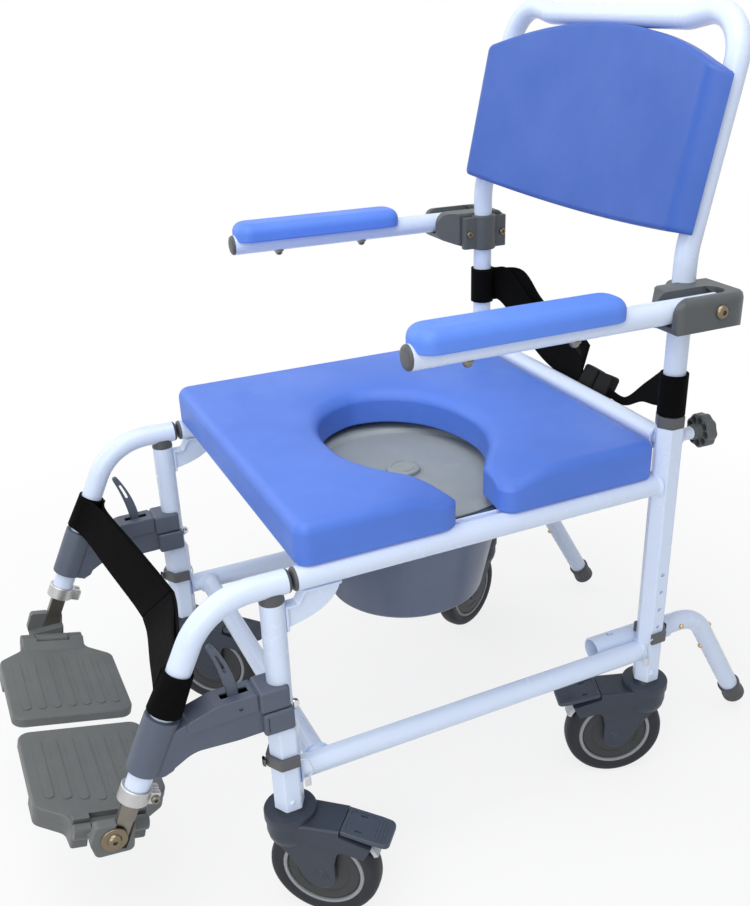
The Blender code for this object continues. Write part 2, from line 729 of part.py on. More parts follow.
for corner, turn_degrees in CASTER_TURN.items():
    leg_y = 0 if corner.startswith("front") else WHEELBASE
    leg_x = LEG_X if corner.endswith("left") else -LEG_X
    leg = Vector((leg_x, leg_y, 0))
    turn = Matrix.Rotation(math.radians(turn_degrees), 4, "Z")
    stand = Matrix.Translation(leg) @ turn
    stem_axis = empty(f"caster_stem_{corner}_axis", leg, ROOT)
    fork_axis = empty(f"caster_fork_{corner}_axis", leg, stem_axis)
    wheel_axis = empty(f"caster_wheel_{corner}_axis", stand @ Vector((0, TRAIL, WHEEL_R)), fork_axis)
    pedal_axis = empty(f"brake_pedal_{corner}_axis", stand @ PEDAL_PIVOT, fork_axis)
    for name, solid, finish, carrier in (("caster_stem", caster_stem(), "chrome", stem_axis),
                                         ("caster_fork", caster_fork(), "dark_plastic", fork_axis),
                                         ("caster_wheel", caster_wheel(), "tyre_rubber", wheel_axis),
                                         ("brake_pedal", brake_pedal(), "dark_plastic", pedal_axis)):
        solid.data.transform(stand)
        keep(f"{name}_{corner}", solid, finish, carrier)


# Height clips: a springy band pushed over the flats of each leg, from the outer end of the chair

def height_clip(y, outward):
    inner = HEX_FLATS / 2 + GAP
    outer = inner + CLIP_T
    point = 2 / math.sqrt(3)
    nose = inner * point
    tip = outer * point
    tail = HEX_FLATS / 3
    bend = inner * point / 2
    far = outer * point / 2
    outline = [(inner, -tail), (inner, bend), (0, nose), (-inner, bend), (-inner, -tail),
               (-outer, -tail), (-outer, far), (0, tip), (outer, far), (outer, -tail)]
    outline = [(x, outward * v) for x, v in outline]
    return plate(outline, CLIP_H, PLAN, (LEG_X, y, CLIP_Z + CLIP_H / 2))


for end, leg_y, outward in (("front", 0, -1), ("rear", WHEELBASE, 1)):
    clips = body_pair(f"height_clip_{end}", (LEG_X, leg_y, CLIP_Z), FRAME)
    keep_pair(f"height_clip_{end}", height_clip(leg_y, outward), "grey_plastic", clips)


# Footrests: they swing about the front legs, and the plates flip up on their posts

def slope(distance):
    return SLOPE_TOP + distance * SLOPE


def hanger_tube():
    path = bent([(LEG_X, HANGER_BACK, SEAT_RAIL_Z), SLOPE_TOP, slope(HANGER_DROP)], [HANGER_BEND])
    hanger = tube(path, TUBE_R)
    pin = rod((LEG_X, 0, FRONT_LEG_TOP + GAP), (LEG_X, 0, SEAT_RAIL_Z), PIN_R)
    room = bore(slope(HANGER_DROP - POST_IN - WELD), slope(HANGER_DROP + WELD),
                math.hypot(POST_W, POST_T) / 2 + GAP)
    return cut(joined(hanger, pin), room)


BLOCK_LOW = SLEEVE_TOP + SLEEVE_TAPER + GAP
BLOCK_TOP = BLOCK_LOW + BLOCK_H


def hanger_bracket():
    sleeve = rod(slope(BRACKET_FROM), slope(BRACKET_FROM + BRACKET_LEN), BRACKET_R)
    block = box((LEG_X - BLOCK_W / 2, -BLOCK_FRONT, BLOCK_LOW),
                (LEG_X + BLOCK_W / 2, BLOCK_BACK, BLOCK_TOP))
    top = slope(BRACKET_FROM + BRACKET_R)
    foot = slope(BRACKET_FROM + BRACKET_LEN - WELD)
    waist = (top + foot) / 2 + Vector((0, 2 * BRACKET_R, 0))
    near = -BLOCK_FRONT + WELD
    low = BLOCK_LOW + 2 * WELD
    high = BLOCK_TOP - WELD
    outline = [(top.y, top.z), (foot.y, foot.z), (waist.y, min(waist.z, low)), (near, low),
               (near, high), (-LEVER_Y - 2 * LEVER_W, high)]
    arm = plate(outline, ARM_T, SIDE_VIEW, (LEG_X, 0, 0))
    tube_room = bore(slope(BRACKET_FROM - BRACKET_R), slope(BRACKET_FROM + BRACKET_LEN + BRACKET_R),
                     TUBE_R + GAP)
    leg_room = bore((LEG_X, 0, BLOCK_LOW - WELD), (LEG_X, 0, BLOCK_TOP + WELD), TUBE_R + GAP)
    slot = LEVER_T / 2 + GAP
    lever_room = box((LEG_X - slot, -LEVER_Y - 1.4 * LEVER_W, LEVER_PIVOT.z - LEVER_W),
                     (LEG_X + slot, -LEVER_Y + 1.4 * LEVER_W, BLOCK_TOP + WELD))
    return cut(joined(sleeve, block, arm), tube_room, leg_room, lever_room)


def release_lever():
    """A curved tongue that leans forward towards its tip."""
    half = LEVER_W / 2
    front = []
    back = []
    for i in range(7):
        t = i / 6
        lean = -0.25 * LEVER_H * t * t
        wide = half * (1 + 0.3 * math.sin(math.pi * t) - 0.3 * t)
        height = LEVER_PIVOT.z - half + LEVER_H * t
        front.append((LEVER_PIVOT.y + lean - wide, height))
        back.append((LEVER_PIVOT.y + lean + wide, height))
    return plate(front[::-1] + back, LEVER_T, SIDE_VIEW, (LEG_X, 0, 0))


def post_clamp():
    start = slope(CLAMP_FROM)
    ring = rod(start, start + CLAMP_H * SLOPE, CLAMP_R)
    middle = start + CLAMP_H / 2 * SLOPE
    ear = box((-CLAMP_H / 2, 0, -CLAMP_H / 2), (CLAMP_H / 2, CLAMP_R + CLAMP_EAR / 2, CLAMP_H / 2))
    slit = box((-WELD, 0, -CLAMP_H), (WELD, CLAMP_R + CLAMP_EAR, CLAMP_H))
    for tool in (ear, slit):
        tool.data.transform(Matrix.Translation(middle) @ Matrix.Rotation(-HANGER_LEAN, 4, "X"))
    room = bore(start - CLAMP_H * SLOPE, start + 2 * CLAMP_H * SLOPE, TUBE_R + GAP)
    return cut(joined(ring, ear), room, slit)


POST_FOOT = HANGER_DROP + POST_OUT


def footplate_post():
    long = POST_IN + POST_OUT
    bar = box((-POST_T / 2, -POST_W / 2, -long / 2), (POST_T / 2, POST_W / 2, long / 2))
    middle = slope(POST_FOOT - long / 2)
    bar.data.transform(Matrix.Translation(middle) @ Matrix.Rotation(-HANGER_LEAN, 4, "X"))
    foot = slope(POST_FOOT)
    half = 0.75 * POST_W
    slim = 0.8 * HINGE_R
    reach = BARREL_LEN / 2
    hinge = PLATE_HINGE.x
    block = box((LEG_X - PIVOT_IN, foot.y - PIVOT_HALF, foot.z - PIVOT_LOW),
                (LEG_X + PIVOT_OUT, foot.y + PIVOT_HALF, foot.z + PIVOT_HIGH))
    web = box((hinge, foot.y - half, foot.z - slim), (LEG_X, foot.y + half, foot.z + slim))
    barrel = rod((hinge, foot.y - reach, foot.z), (hinge, foot.y + reach, foot.z), HINGE_R)
    for tilted in (web, barrel):
        tilted.data.transform(TILT)
    return joined(bar, block, web, barrel)


def footplate():
    y = PLATE_HINGE.y
    z = PLATE_HINGE.z
    half = PLATE_W / 2
    barrel = BARREL_LEN / 2 + GAP
    ear = barrel + KNUCKLE_LEN
    hinge = PLATE_HINGE.x
    notch = hinge - HINGE_R - WELD
    wide = hinge - PLATE_NECK
    inner = PLATE_END + PLATE_CORNER
    outline = arc((inner, y - half + PLATE_CORNER), PLATE_CORNER, 180, 270, 4)
    outline += [(wide, y - half), (hinge, y - ear), (hinge, y - barrel), (notch, y - barrel)]
    outline += [(notch, y + barrel), (hinge, y + barrel), (hinge, y + ear), (wide, y + half)]
    outline += arc((inner, y + half - PLATE_CORNER), PLATE_CORNER, 90, 180, 4)
    tread = plate(outline, PLATE_T, PLAN, (0, 0, z - PLATE_T / 2 + KNUCKLE_SINK))
    knuckles = [rod((hinge, y + a, z), (hinge, y + b, z), HINGE_R)
                for a, b in ((-ear, -barrel), (barrel, ear))]
    piece = joined(tread, *knuckles)
    piece.data.transform(TILT)
    return piece


def calf_strap():
    loop = rod(slope(STRAP_FROM), slope(STRAP_FROM + STRAP_W), TUBE_R + GAP + STRAP_T)
    room = bore(slope(STRAP_FROM - STRAP_W), slope(STRAP_FROM + 2 * STRAP_W), TUBE_R + GAP)
    start = slope(STRAP_FROM + STRAP_W / 2) + Vector((-TUBE_R / 2, TUBE_R + STRAP_T / 2, 0))
    knee = start + Vector((-0.55 * LEG_X, 0.7 * STRAP_BACK, -0.7 * STRAP_SAG))
    end = Vector((-STRAP_T, start.y + STRAP_BACK, start.z - STRAP_SAG))
    path = smooth_path([start, knee, end], STRAP_STEPS)
    band = ribbon(path, [0.9 * STRAP_W] * len(path), STRAP_T)
    reach = Vector((0, STRAP_W, STRAP_W))
    other_half = box(end - reach - Vector((STRAP_W, 0, 0)), Vector((GAP / 2, end.y, end.z)) + reach)
    return cut(joined(loop, band), room, other_half)


hangers = body_pair("hanger", (LEG_X, 0, SEAT_RAIL_Z), FRAME)
keep_pair("hanger_tube", hanger_tube(), "white_powder_coat", hangers)
keep_pair("hanger_bracket", hanger_bracket(), "grey_plastic", hangers)
keep_pair("post_clamp", post_clamp(), "aluminium", hangers)
keep_pair("calf_strap", calf_strap(), "black_webbing", hangers)
keep_pair("release_lever", release_lever(), "grey_plastic", body_pair("lever", LEVER_PIVOT, hangers))
posts = body_pair("post", slope(HANGER_DROP), hangers)
keep_pair("footplate_post", footplate_post(), "chrome", posts)
keep_pair("footplate", footplate(), "footplate_plastic", body_pair("plate", PLATE_HINGE, posts))


# Seat: one moulded pad with a drop shaped opening and a channel to the chair's left side

def seat_pad():
    half = SEAT_W / 2
    round_in = half - SEAT_CORNER
    lobe_in = half - LOBE_R
    outline = arc((-round_in, SEAT_FRONT + SEAT_CORNER), SEAT_CORNER, 180, 270, 4)
    outline += arc((round_in, SEAT_FRONT + SEAT_CORNER), SEAT_CORNER, 270, 360, 4)
    outline += arc((lobe_in, CHANNEL_FRONT - LOBE_R), LOBE_R, 0, 90, 4)
    edge = smooth_path([(x, y, 0) for x, y in OPENING_EDGE], EDGE_STEPS)
    outline += [(point.x, point.y) for point in edge]
    outline += arc((lobe_in, CHANNEL_REAR + LOBE_R), LOBE_R, 270, 360, 4)
    outline += arc((round_in, SEAT_REAR - SEAT_CORNER), SEAT_CORNER, 0, 90, 4)
    outline += arc((-round_in, SEAT_REAR - SEAT_CORNER), SEAT_CORNER, 90, 180, 4)
    return padded(outline, SEAT_BASE, SEAT_SIDE, SEAT_EDGE, SEAT_CROWN)


seat_axis = empty("seat_axis", (0, (SEAT_FRONT + SEAT_REAR) / 2, SEAT_BASE), ROOT)
keep("seat_pad", seat_pad(), "blue_polyurethane", seat_axis)


# Pail and lid: the pail's rim slides on the shelves, and the lid lies on the rim

def pail():
    low = PAIL_RIM_Z - PAIL_H
    under = PAIL_RIM_Z - PAIL_RIM_T
    inside = PAIL_WALL
    profile = [(0, low), (PAIL_FOOT_R - 2 * PAIL_WALL, low), (PAIL_FOOT_R, low + 2 * PAIL_WALL),
               (PAIL_R, under), (PAIL_RIM_R, under), (PAIL_RIM_R, PAIL_RIM_Z),
               (PAIL_R - inside, PAIL_RIM_Z), (PAIL_FOOT_R - inside, low + 3 * PAIL_WALL),
               (PAIL_FOOT_R - 4 * PAIL_WALL, low + inside), (0, low + inside)]
    piece = turned(profile[::-1], 2 * SIDES, False)
    piece.data.transform(Matrix.Translation((PAIL_X, PAIL_Y, 0)))
    return piece


def pail_lid():
    base = PAIL_RIM_Z + GAP
    low = base - LID_DISH
    knob = low + LID_T
    shoulder = base - LID_DISH / 2
    dish = PAIL_R - PAIL_WALL - LID_CLEAR
    profile = [(0, low), (dish - LID_DISH, shoulder), (dish, base), (LID_R, base),
               (LID_R, base + LID_T), (dish - LID_T, shoulder + LID_T), (LID_KNOB_R, knob),
               (LID_KNOB_R, knob + LID_KNOB_H), (0, knob + LID_KNOB_H)]
    piece = turned(profile[::-1], 2 * SIDES, False)
    piece.data.transform(Matrix.Translation((PAIL_X, PAIL_Y, 0)))
    return piece


pail_axis = empty("pail_axis", (PAIL_X, PAIL_Y, SHELF_Z), ROOT)
lid_axis = empty("lid_axis", (PAIL_X, PAIL_Y, PAIL_RIM_Z), pail_axis)
keep("pail", pail(), "pail_plastic", pail_axis)
keep("pail_lid", pail_lid(), "lid_plastic", lid_axis)


# Back: canes that drop into the rear legs, bent back above the arms, with a push bar on top

LEAN = (Matrix.Translation((0, WHEELBASE, CANE_BEND_Z)) @ Matrix.Rotation(-CANE_LEAN, 4, "X")
        @ Matrix.Translation((0, -WHEELBASE, -CANE_BEND_Z)))
CANE_FOOT = REAR_LEG_TOP - CANE_IN


def back_frame():
    top = CANE_BEND_Z + BACK_TOP
    half = [Vector((LEG_X, WHEELBASE, CANE_FOOT)), Vector((LEG_X, WHEELBASE, CANE_BEND_Z)),
            LEAN @ Vector((LEG_X, WHEELBASE, top)),
            LEAN @ Vector((BACK_DIP_X, WHEELBASE, top - BACK_DIP))]
    other = [Vector((-p.x, p.y, p.z)) for p in reversed(half)]
    sharp = 1.6 * 2 * TUBE_R
    easy = 4 * TUBE_R
    radii = [10 * TUBE_R, sharp, easy, easy, sharp, 10 * TUBE_R]
    return tube(bent(half + other, radii), TUBE_R)


def back_pad():
    """A bowed, arched pad whose side flanges lap round the canes."""
    face = TUBE_R + PAD_FACE
    rear = TUBE_R + GAP
    inner = LEG_X + TUBE_R + GAP
    outer = max(PAD_HALF, inner + FLANGE_T)
    flat = LEG_X - TUBE_R
    form = bmesh.new()
    for front in (True, False):
        grid = bmesh.ops.create_grid(form, x_segments=PAD_COLUMNS, y_segments=PAD_ROWS, size=1)["verts"]
        for vert in grid:
            u = vert.co.x
            v = (vert.co.y + 1) / 2
            reach = min(1, abs(u) / PAD_WRAP)
            lap = max(0, (abs(u) - PAD_WRAP) / (1 - PAD_WRAP))
            if front:
                edge = (2 * abs(v - 0.5)) ** 6
                x = outer * reach - (PAD_SOFT * reach ** 8 if lap == 0 else 0)
                y = -face + PAD_BOW * (1 - reach ** 2) + PAD_SOFT * edge + lap * (face - FLANGE_END)
            else:
                x = inner * reach
                hollow = max(0, 1 - (x / flat) ** 2)
                y = -rear + (PAD_BOW + PAD_DEEP - PAD_FACE) * hollow + lap * (rear - FLANGE_END)
            top = PAD_SIDE_H + PAD_ARCH * (1 - reach ** 2)
            z = CANE_BEND_Z + PAD_FROM + v * top
            vert.co = (math.copysign(x, u), WHEELBASE + y, z)
    bmesh.ops.bridge_loops(form, edges=[e for e in form.edges if e.is_boundary])
    bmesh.ops.transform(form, matrix=LEAN, verts=form.verts)
    return from_form(form)


back_axis = empty("back_axis", (0, WHEELBASE, REAR_LEG_TOP), ROOT)
BACK = {"left": back_axis, "right": back_axis}
keep("back_frame", back_frame(), "white_powder_coat", back_axis)
keep("back_pad", back_pad(), "blue_polyurethane", back_axis)


# Arms: a moulded bracket clamped on each cane, and a padded tube that flips up on a bolt

def arm_bracket():
    low = ARM_Z - 0.7 * MOUNT_H
    high = low + MOUNT_H
    pocket = TUBE_R + 4 * GAP
    outer = ARM_X + pocket + MOUNT_WALL
    front = WHEELBASE - MOUNT_FRONT
    back = WHEELBASE + MOUNT_BACK
    chin = 0.25 * MOUNT_H
    outline = [(front, high), (front, low + chin), (WHEELBASE - GRIP_R, low),
               (WHEELBASE + GRIP_R / 2, low), (back, low + chin), (back, high - chin / 2),
               (back - chin / 2, high)]
    wide = outer - LEG_X + WELD
    body = plate(outline, wide, SIDE_VIEW, (outer - wide / 2, 0, 0))
    grip = rod((LEG_X, WHEELBASE, low), (LEG_X, WHEELBASE, high), GRIP_R)
    inner = box((LEG_X - GRIP_DEEP, WHEELBASE - GRIP_HALF, low + chin / 2),
                (LEG_X + 2 * WELD, WHEELBASE + GRIP_HALF, high - chin / 3))
    waist = WHEELBASE - GRIP_HALF - WELD
    slim = plate([(LEG_X - GRIP_R, front - WELD), (LEG_X - GRIP_R, waist), (LEG_X, waist),
                  (ARM_X - pocket - MOUNT_WALL, front - WELD)], 4 * MOUNT_H, PLAN, (0, 0, ARM_Z))
    left = ARM_X - pocket
    right = ARM_X + pocket
    above = high + WELD
    rest = ARM_Z - TUBE_R - GAP
    bed = box((left, front - WELD, rest), (right, ARM_BOLT.y, above))
    turn_room = rod((left, ARM_BOLT.y, ARM_Z), (right, ARM_BOLT.y, ARM_Z), MOUNT_ROLL, 2 * SIDES)
    lift_room = box((left, ARM_BOLT.y - WELD, ARM_Z), (right, ARM_BOLT.y + MOUNT_ROLL, above))
    cane_room = bore((LEG_X, WHEELBASE, low - WELD), (LEG_X, WHEELBASE, above), TUBE_R + GAP)
    bolt_room = bore((left - 2 * MOUNT_WALL, ARM_BOLT.y, ARM_Z), (outer + WELD, ARM_BOLT.y, ARM_Z),
                     SCREW_R + GAP)
    return cut(joined(body, grip, inner), slim, bed, turn_room, lift_room, cane_room, bolt_room)


def arm_bolt():
    pocket = TUBE_R + 4 * GAP
    face = ARM_X + pocket + MOUNT_WALL + GAP
    y = ARM_BOLT.y
    shank = rod((ARM_X - pocket - MOUNT_WALL, y, ARM_Z), (face + WELD, y, ARM_Z), SCREW_R)
    head = rod((face, y, ARM_Z), (face + HEAD_H, y, ARM_Z), HEAD_R, SIDES, 0.6 * HEAD_R)
    return joined(shank, head)


ARM_FRONT = ARM_BOLT.y - ARM_LEN


def arm_tube():
    y = ARM_BOLT.y
    arm = rod((ARM_X, ARM_FRONT, ARM_Z), (ARM_X, y + ARM_TAIL, ARM_Z), TUBE_R)
    hole = bore((ARM_X - 2 * TUBE_R, y, ARM_Z), (ARM_X + 2 * TUBE_R, y, ARM_Z), SCREW_R + GAP)
    return cut(arm, hole)


def arm_pad():
    half = ARM_PAD_W / 2
    end = 0.6 * half
    front = ARM_FRONT + ARM_PAD_BACK
    rear = front + ARM_PAD_L
    outline = arc((ARM_X - half + end, front + end), end, 180, 270, 3)
    outline += arc((ARM_X + half - end, front + end), end, 270, 360, 3)
    outline += arc((ARM_X + half - end, rear - end), end, 0, 90, 3)
    outline += arc((ARM_X - half + end, rear - end), end, 90, 180, 3)
    pad = padded(outline, ARM_Z + ARM_PAD_RISE, ARM_PAD_SIDE, ARM_PAD_EDGE, ARM_PAD_CROWN)
    tube_room = bore((ARM_X, ARM_FRONT - WELD, ARM_Z), (ARM_X, rear + WELD, ARM_Z), TUBE_R + GAP)
    return cut(pad, tube_room)


arms = body_pair("arm", ARM_BOLT, BACK)
keep_pair("arm_bracket", arm_bracket(), "grey_plastic", BACK)
keep_pair("arm_bolt", arm_bolt(), "chrome", BACK)
keep_pair("arm_tube", arm_tube(), "white_powder_coat", arms)
keep_pair("arm_pad", arm_pad(), "blue_polyurethane", arms)


# Lap belt: two halves looped on the canes, resting behind the cross tube with the buckle between

BUCKLE_Z = REAR_LEG_TOP - BUCKLE_DROP


def lap_belt(side, rise, joint_x, droop, buckle):
    x = side * LEG_X
    low = REAR_LEG_TOP + rise
    high = low + BELT_W
    loop = rod((x, WHEELBASE, low), (x, WHEELBASE, high), TUBE_R + GAP + BELT_T)
    room = bore((x, WHEELBASE, low - WELD), (x, WHEELBASE, high + WELD), TUBE_R + GAP)
    start = Vector((x - side * TUBE_R / 2, WHEELBASE + TUBE_R + BELT_T / 2, low + BELT_W / 2))
    end = Vector((joint_x, WHEELBASE + BELT_Y, BUCKLE_Z))
    middle = start.lerp(end, 0.5) + Vector((0, BELT_Y / 2, -droop))
    path = smooth_path([start, middle, end], STRAP_STEPS)
    span = len(path) - 1
    widths = [BELT_W * (0.95 - 0.5 * math.sin(math.pi * i / span) ** 2 * (1 if side > 0 else 0.4))
              for i in range(span + 1)]
    return cut(joined(loop, ribbon(path, widths, BELT_T), buckle), room)


def buckle_half(low, high):
    half = Vector((0, BUCKLE_T / 2, BUCKLE_W / 2))
    place = Vector((0, WHEELBASE + BELT_Y, BUCKLE_Z))
    return box(place + Vector((low, 0, 0)) - half, place + Vector((high, 0, 0)) + half)


buckle_from = BUCKLE_X - BUCKLE_L / 2
buckle_to = BUCKLE_X + BUCKLE_L / 2
left_belt = lap_belt(1, BELT_RISE, buckle_to - WELD, 0.004, buckle_half(BUCKLE_X + GAP, buckle_to))
right_belt = lap_belt(-1, BELT_HIGH, buckle_from + WELD, 0.002, buckle_half(buckle_from, BUCKLE_X))
keep("lap_belt_left", left_belt, "black_webbing", back_axis)
keep("lap_belt_right", right_belt, "black_webbing", back_axis)


# Knobs: a lobed hand screw behind each rear leg, which pinches the cane

def back_knob():
    points = []
    for i in range(4 * KNOB_LOBES):
        angle = 2 * math.pi * i / (4 * KNOB_LOBES)
        radius = KNOB_R + KNOB_LOBE * math.cos(KNOB_LOBES * angle)
        points.append((radius * math.cos(angle), radius * math.sin(angle)))
    start = WHEELBASE + HEX_FLATS / 2 + BOSS_LEN + GAP
    head_y = start + KNOB_HUB + KNOB_T / 2
    head = plate(points, KNOB_T, REAR_VIEW, (LEG_X, head_y, KNOB_Z))
    hub = rod((LEG_X, start, KNOB_Z), (LEG_X, head_y, KNOB_Z), KNOB_HUB_R)
    screw = rod((LEG_X, WHEELBASE + TUBE_R + 2 * GAP, KNOB_Z), (LEG_X, head_y, KNOB_Z), SCREW_R)
    return joined(head, hub, screw)


knob_place = (LEG_X, WHEELBASE + HEX_FLATS / 2 + BOSS_LEN, KNOB_Z)
keep_pair("back_knob", back_knob(), "grey_plastic", body_pair("back_knob", knob_place, FRAME))


# Anti-tip legs: bent tubes with rubber cups, pushed into the sockets beside the rear legs

def anti_tip_path():
    corner = Vector((SOCKET_X, WHEELBASE + TIP_CORNER, LOWER_RAIL_Z))
    down = Vector((0, math.sin(TIP_LEAN), -math.cos(TIP_LEAN)))
    return corner, down


def anti_tip_tube():
    corner, down = anti_tip_path()
    start = (SOCKET_X, WHEELBASE - TIP_IN, LOWER_RAIL_Z)
    return tube(bent([start, corner, corner + TIP_LEG * down], [TIP_BEND]), TUBE_R)


def anti_tip_cup():
    corner, down = anti_tip_path()
    end = corner + TIP_LEG * down
    cup = rod(end - CUP_H * down, end + CUP_SOLE * down, CUP_R)
    return cut(cup, bore(end - 2 * CUP_H * down, end + GAP * down, TUBE_R + GAP))


anti_tips = body_pair("anti_tip", (SOCKET_X, WHEELBASE, LOWER_RAIL_Z), FRAME)
keep_pair("anti_tip_tube", anti_tip_tube(), "white_powder_coat", anti_tips)
keep_pair("anti_tip_cup", anti_tip_cup(), "tip_rubber", anti_tips)


# The chair's origin: the middle of its footprint, on the floor

bpy.context.view_layer.update()
corners = []
for piece in CHAIR.objects:
    if piece.type == "MESH":
        corners += [piece.matrix_world @ Vector(c) for c in piece.bound_box]
middle_y = (min(c.y for c in corners) + max(c.y for c in corners)) / 2
middle_x = (min(c.x for c in corners) + max(c.x for c in corners)) / 2
ROOT.location = (-middle_x, -middle_y, -min(c.z for c in corners))
bpy.context.view_layer.update()
for anchor in CHAIR.objects:
    if anchor.type == "EMPTY":
        place = anchor.matrix_world.translation
        print(f"axis {anchor.name} {place.x:.5f} {place.y:.5f} {place.z:.5f}")
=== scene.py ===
import json
import math

import bmesh
import bpy
from mathutils import Matrix, Vector


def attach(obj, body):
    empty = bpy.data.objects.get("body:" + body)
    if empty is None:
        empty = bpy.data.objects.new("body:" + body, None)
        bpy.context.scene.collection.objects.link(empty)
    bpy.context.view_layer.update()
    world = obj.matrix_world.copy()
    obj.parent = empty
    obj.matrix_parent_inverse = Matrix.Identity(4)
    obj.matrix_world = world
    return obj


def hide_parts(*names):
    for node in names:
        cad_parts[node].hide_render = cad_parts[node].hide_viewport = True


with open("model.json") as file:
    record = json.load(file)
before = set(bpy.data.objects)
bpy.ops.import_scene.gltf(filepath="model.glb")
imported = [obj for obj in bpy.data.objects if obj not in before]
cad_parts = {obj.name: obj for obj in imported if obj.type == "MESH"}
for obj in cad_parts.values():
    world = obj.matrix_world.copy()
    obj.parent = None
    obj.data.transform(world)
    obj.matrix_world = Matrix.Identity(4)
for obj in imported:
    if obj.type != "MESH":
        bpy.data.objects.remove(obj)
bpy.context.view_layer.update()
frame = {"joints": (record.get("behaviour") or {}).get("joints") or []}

# The photographer's corner: a plain pale floor, soft light from above and in front, and the camera at the chair's
# left front. Everything is drawn in chair coordinates, with the front legs at y = 0 and the middle at x = 0, and
# moved by the datum, which lies between the two front legs.
hinges = [Vector(joint["pos_m"]) for joint in frame["joints"] if joint["name"].startswith("hanger_swing")]
datum = Vector(((hinges[0].x + hinges[1].x) / 2, hinges[0].y, 0))
azimuth = math.radians(62.3541)
elevation = math.radians(25.6425)
roll = math.radians(-0.40363)
backward = Vector((math.sin(azimuth) * math.cos(elevation), -math.cos(azimuth) * math.cos(elevation),
                   math.sin(elevation)))
rightward = Vector((math.cos(azimuth), math.sin(azimuth), 0))
upward = backward.cross(rightward)
aim = Matrix((rightward, upward, backward)).transposed() @ Matrix.Rotation(roll, 3, "Z")
photo_w = 750
photo_h = 906
focal_px = 1019.08
centre_px = (440.05, 480.37)
lens = bpy.data.cameras.new("camera")
lens.sensor_width = 36
lens.lens = focal_px * 36 / photo_h
lens.shift_x = (photo_w / 2 - centre_px[0]) / photo_h
lens.shift_y = (centre_px[1] - photo_h / 2) / photo_h
camera = bpy.data.objects.new("camera", lens)
camera.matrix_world = Matrix.Translation(Vector((1.04583, -0.24747, 0.94021)) + datum) @ aim.to_4x4()
bpy.context.scene.collection.objects.link(camera)
bpy.context.scene.camera = camera
bpy.context.scene.view_settings.view_transform = "Standard"


class Wire:
    """A socket of a node tree, so that shading is written as sums of sockets and numbers."""

    def __init__(self, tree, socket=None):
        self.tree = tree
        self.socket = socket

    def node(self, kind, settings, inputs, output=0):
        """Any other node: its settings, then the values or links of its sockets."""
        made = self.tree.nodes.new("ShaderNode" + kind)
        for key, value in settings.items():
            if key == "stops":
                ramp = made.color_ramp.elements
                for stop, (position, grey) in zip(ramp, value):
                    stop.position = position
                    stop.color = (grey, grey, grey, 1)
            else:
                setattr(made, key, value)
        for key, value in inputs.items():
            if isinstance(value, Wire):
                self.tree.links.new(value.socket, made.inputs[key])
            else:
                made.inputs[key].default_value = value
        return Wire(self.tree, made.outputs[output])

    def math(self, operation, first, second=0.0):
        return self.node("Math", {"operation": operation}, {0: first, 1: second})

    def __add__(self, other):
        return self.math("ADD", self, other)

    def __sub__(self, other):
        return self.math("SUBTRACT", self, other)

    def __rsub__(self, other):
        return self.math("SUBTRACT", other, self)

    def __mul__(self, other):
        return self.math("MULTIPLY", self, other)

    __radd__ = __add__
    __rmul__ = __mul__

    def band(self, low, high):
        """0 below one value and 1 above another."""
        return self.node("MapRange", {"clamp": True}, {"Value": self, "From Min": low, "From Max": high})

    def tint(self, first, second):
        """A colour between two, by this value."""
        return self.node("Mix", {"data_type": "RGBA"}, {0: self, 6: (*first, 1), 7: (*second, 1)}, 2)

    def into(self, socket):
        self.tree.links.new(self.socket, socket)


def looked_at(wire):
    """1 where the eye, a reflection or a clear body looks, and 0 for light on its way."""
    rays = [wire.node("LightPath", {}, {}, f"Is {ray} Ray") for ray in ("Camera", "Glossy", "Transmission")]
    total = rays[0] + rays[1] + rays[2]
    return total.math("MINIMUM", total, 1.0)


room = bpy.data.worlds.new("room")
bpy.context.scene.world = room
room.use_nodes = True
air = Wire(room.node_tree)
daylight = air.node("Background", {}, {"Color": (0.93, 0.96, 1.0, 1), "Strength": 0.38})
white = air.node("Background", {}, {"Color": (1, 1, 1, 1), "Strength": 1.0})
surround = air.node("MixShader", {}, {0: looked_at(air), 1: daylight, 2: white})
surround.into(room.node_tree.nodes["World Output"].inputs["Surface"])

for lamp_name, lamp_place, lamp_size, lamp_watts in (("ceiling_softbox", (0.5, -0.5, 2.7), 2.2, 42),
                                                     ("front_softbox", (1.9, -1.9, 1.5), 1.6, 25),
                                                     ("side_softbox", (-1.7, -1.3, 1.6), 1.6, 11)):
    lamp = bpy.data.lights.new(lamp_name, "AREA")
    lamp.size = lamp_size
    lamp.energy = lamp_watts
    stand = bpy.data.objects.new(lamp_name, lamp)
    stand.location = lamp_place
    stand.rotation_euler = (Vector((0, 0, 0.45)) - Vector(lamp_place)).to_track_quat("-Z", "Y").to_euler()
    bpy.context.scene.collection.objects.link(stand)

paper = bpy.data.materials.new("paper_floor")
paper.use_nodes = True
sheet = Wire(paper.node_tree)
spot = sheet.node("TexCoord", {}, {}, "Object")
mottle = sheet.node("TexNoise", {}, {"Vector": spot, "Scale": 6.0})
far = sheet.node("VectorMath", {"operation": "LENGTH"}, {0: spot}, "Value").band(0.55, 1.25)
dull = sheet.node("BsdfDiffuse", {}, {"Color": mottle.tint((0.84, 0.84, 0.84), (0.86, 0.86, 0.86))})
glow = sheet.node("Emission", {}, {"Color": (1, 1, 1, 1), "Strength": 1.0})
paper_shade = sheet.node("MixShader", {}, {0: (0.80 + 0.20 * far) * looked_at(sheet), 1: dull, 2: glow})
paper_shade.into(paper.node_tree.nodes["Material Output"].inputs["Surface"])
ground = bmesh.new()
bmesh.ops.create_grid(ground, x_segments=1, y_segments=1, size=4.0)
floor_mesh = bpy.data.meshes.new("floor")
ground.to_mesh(floor_mesh)
ground.free()
floor_mesh.materials.append(paper)
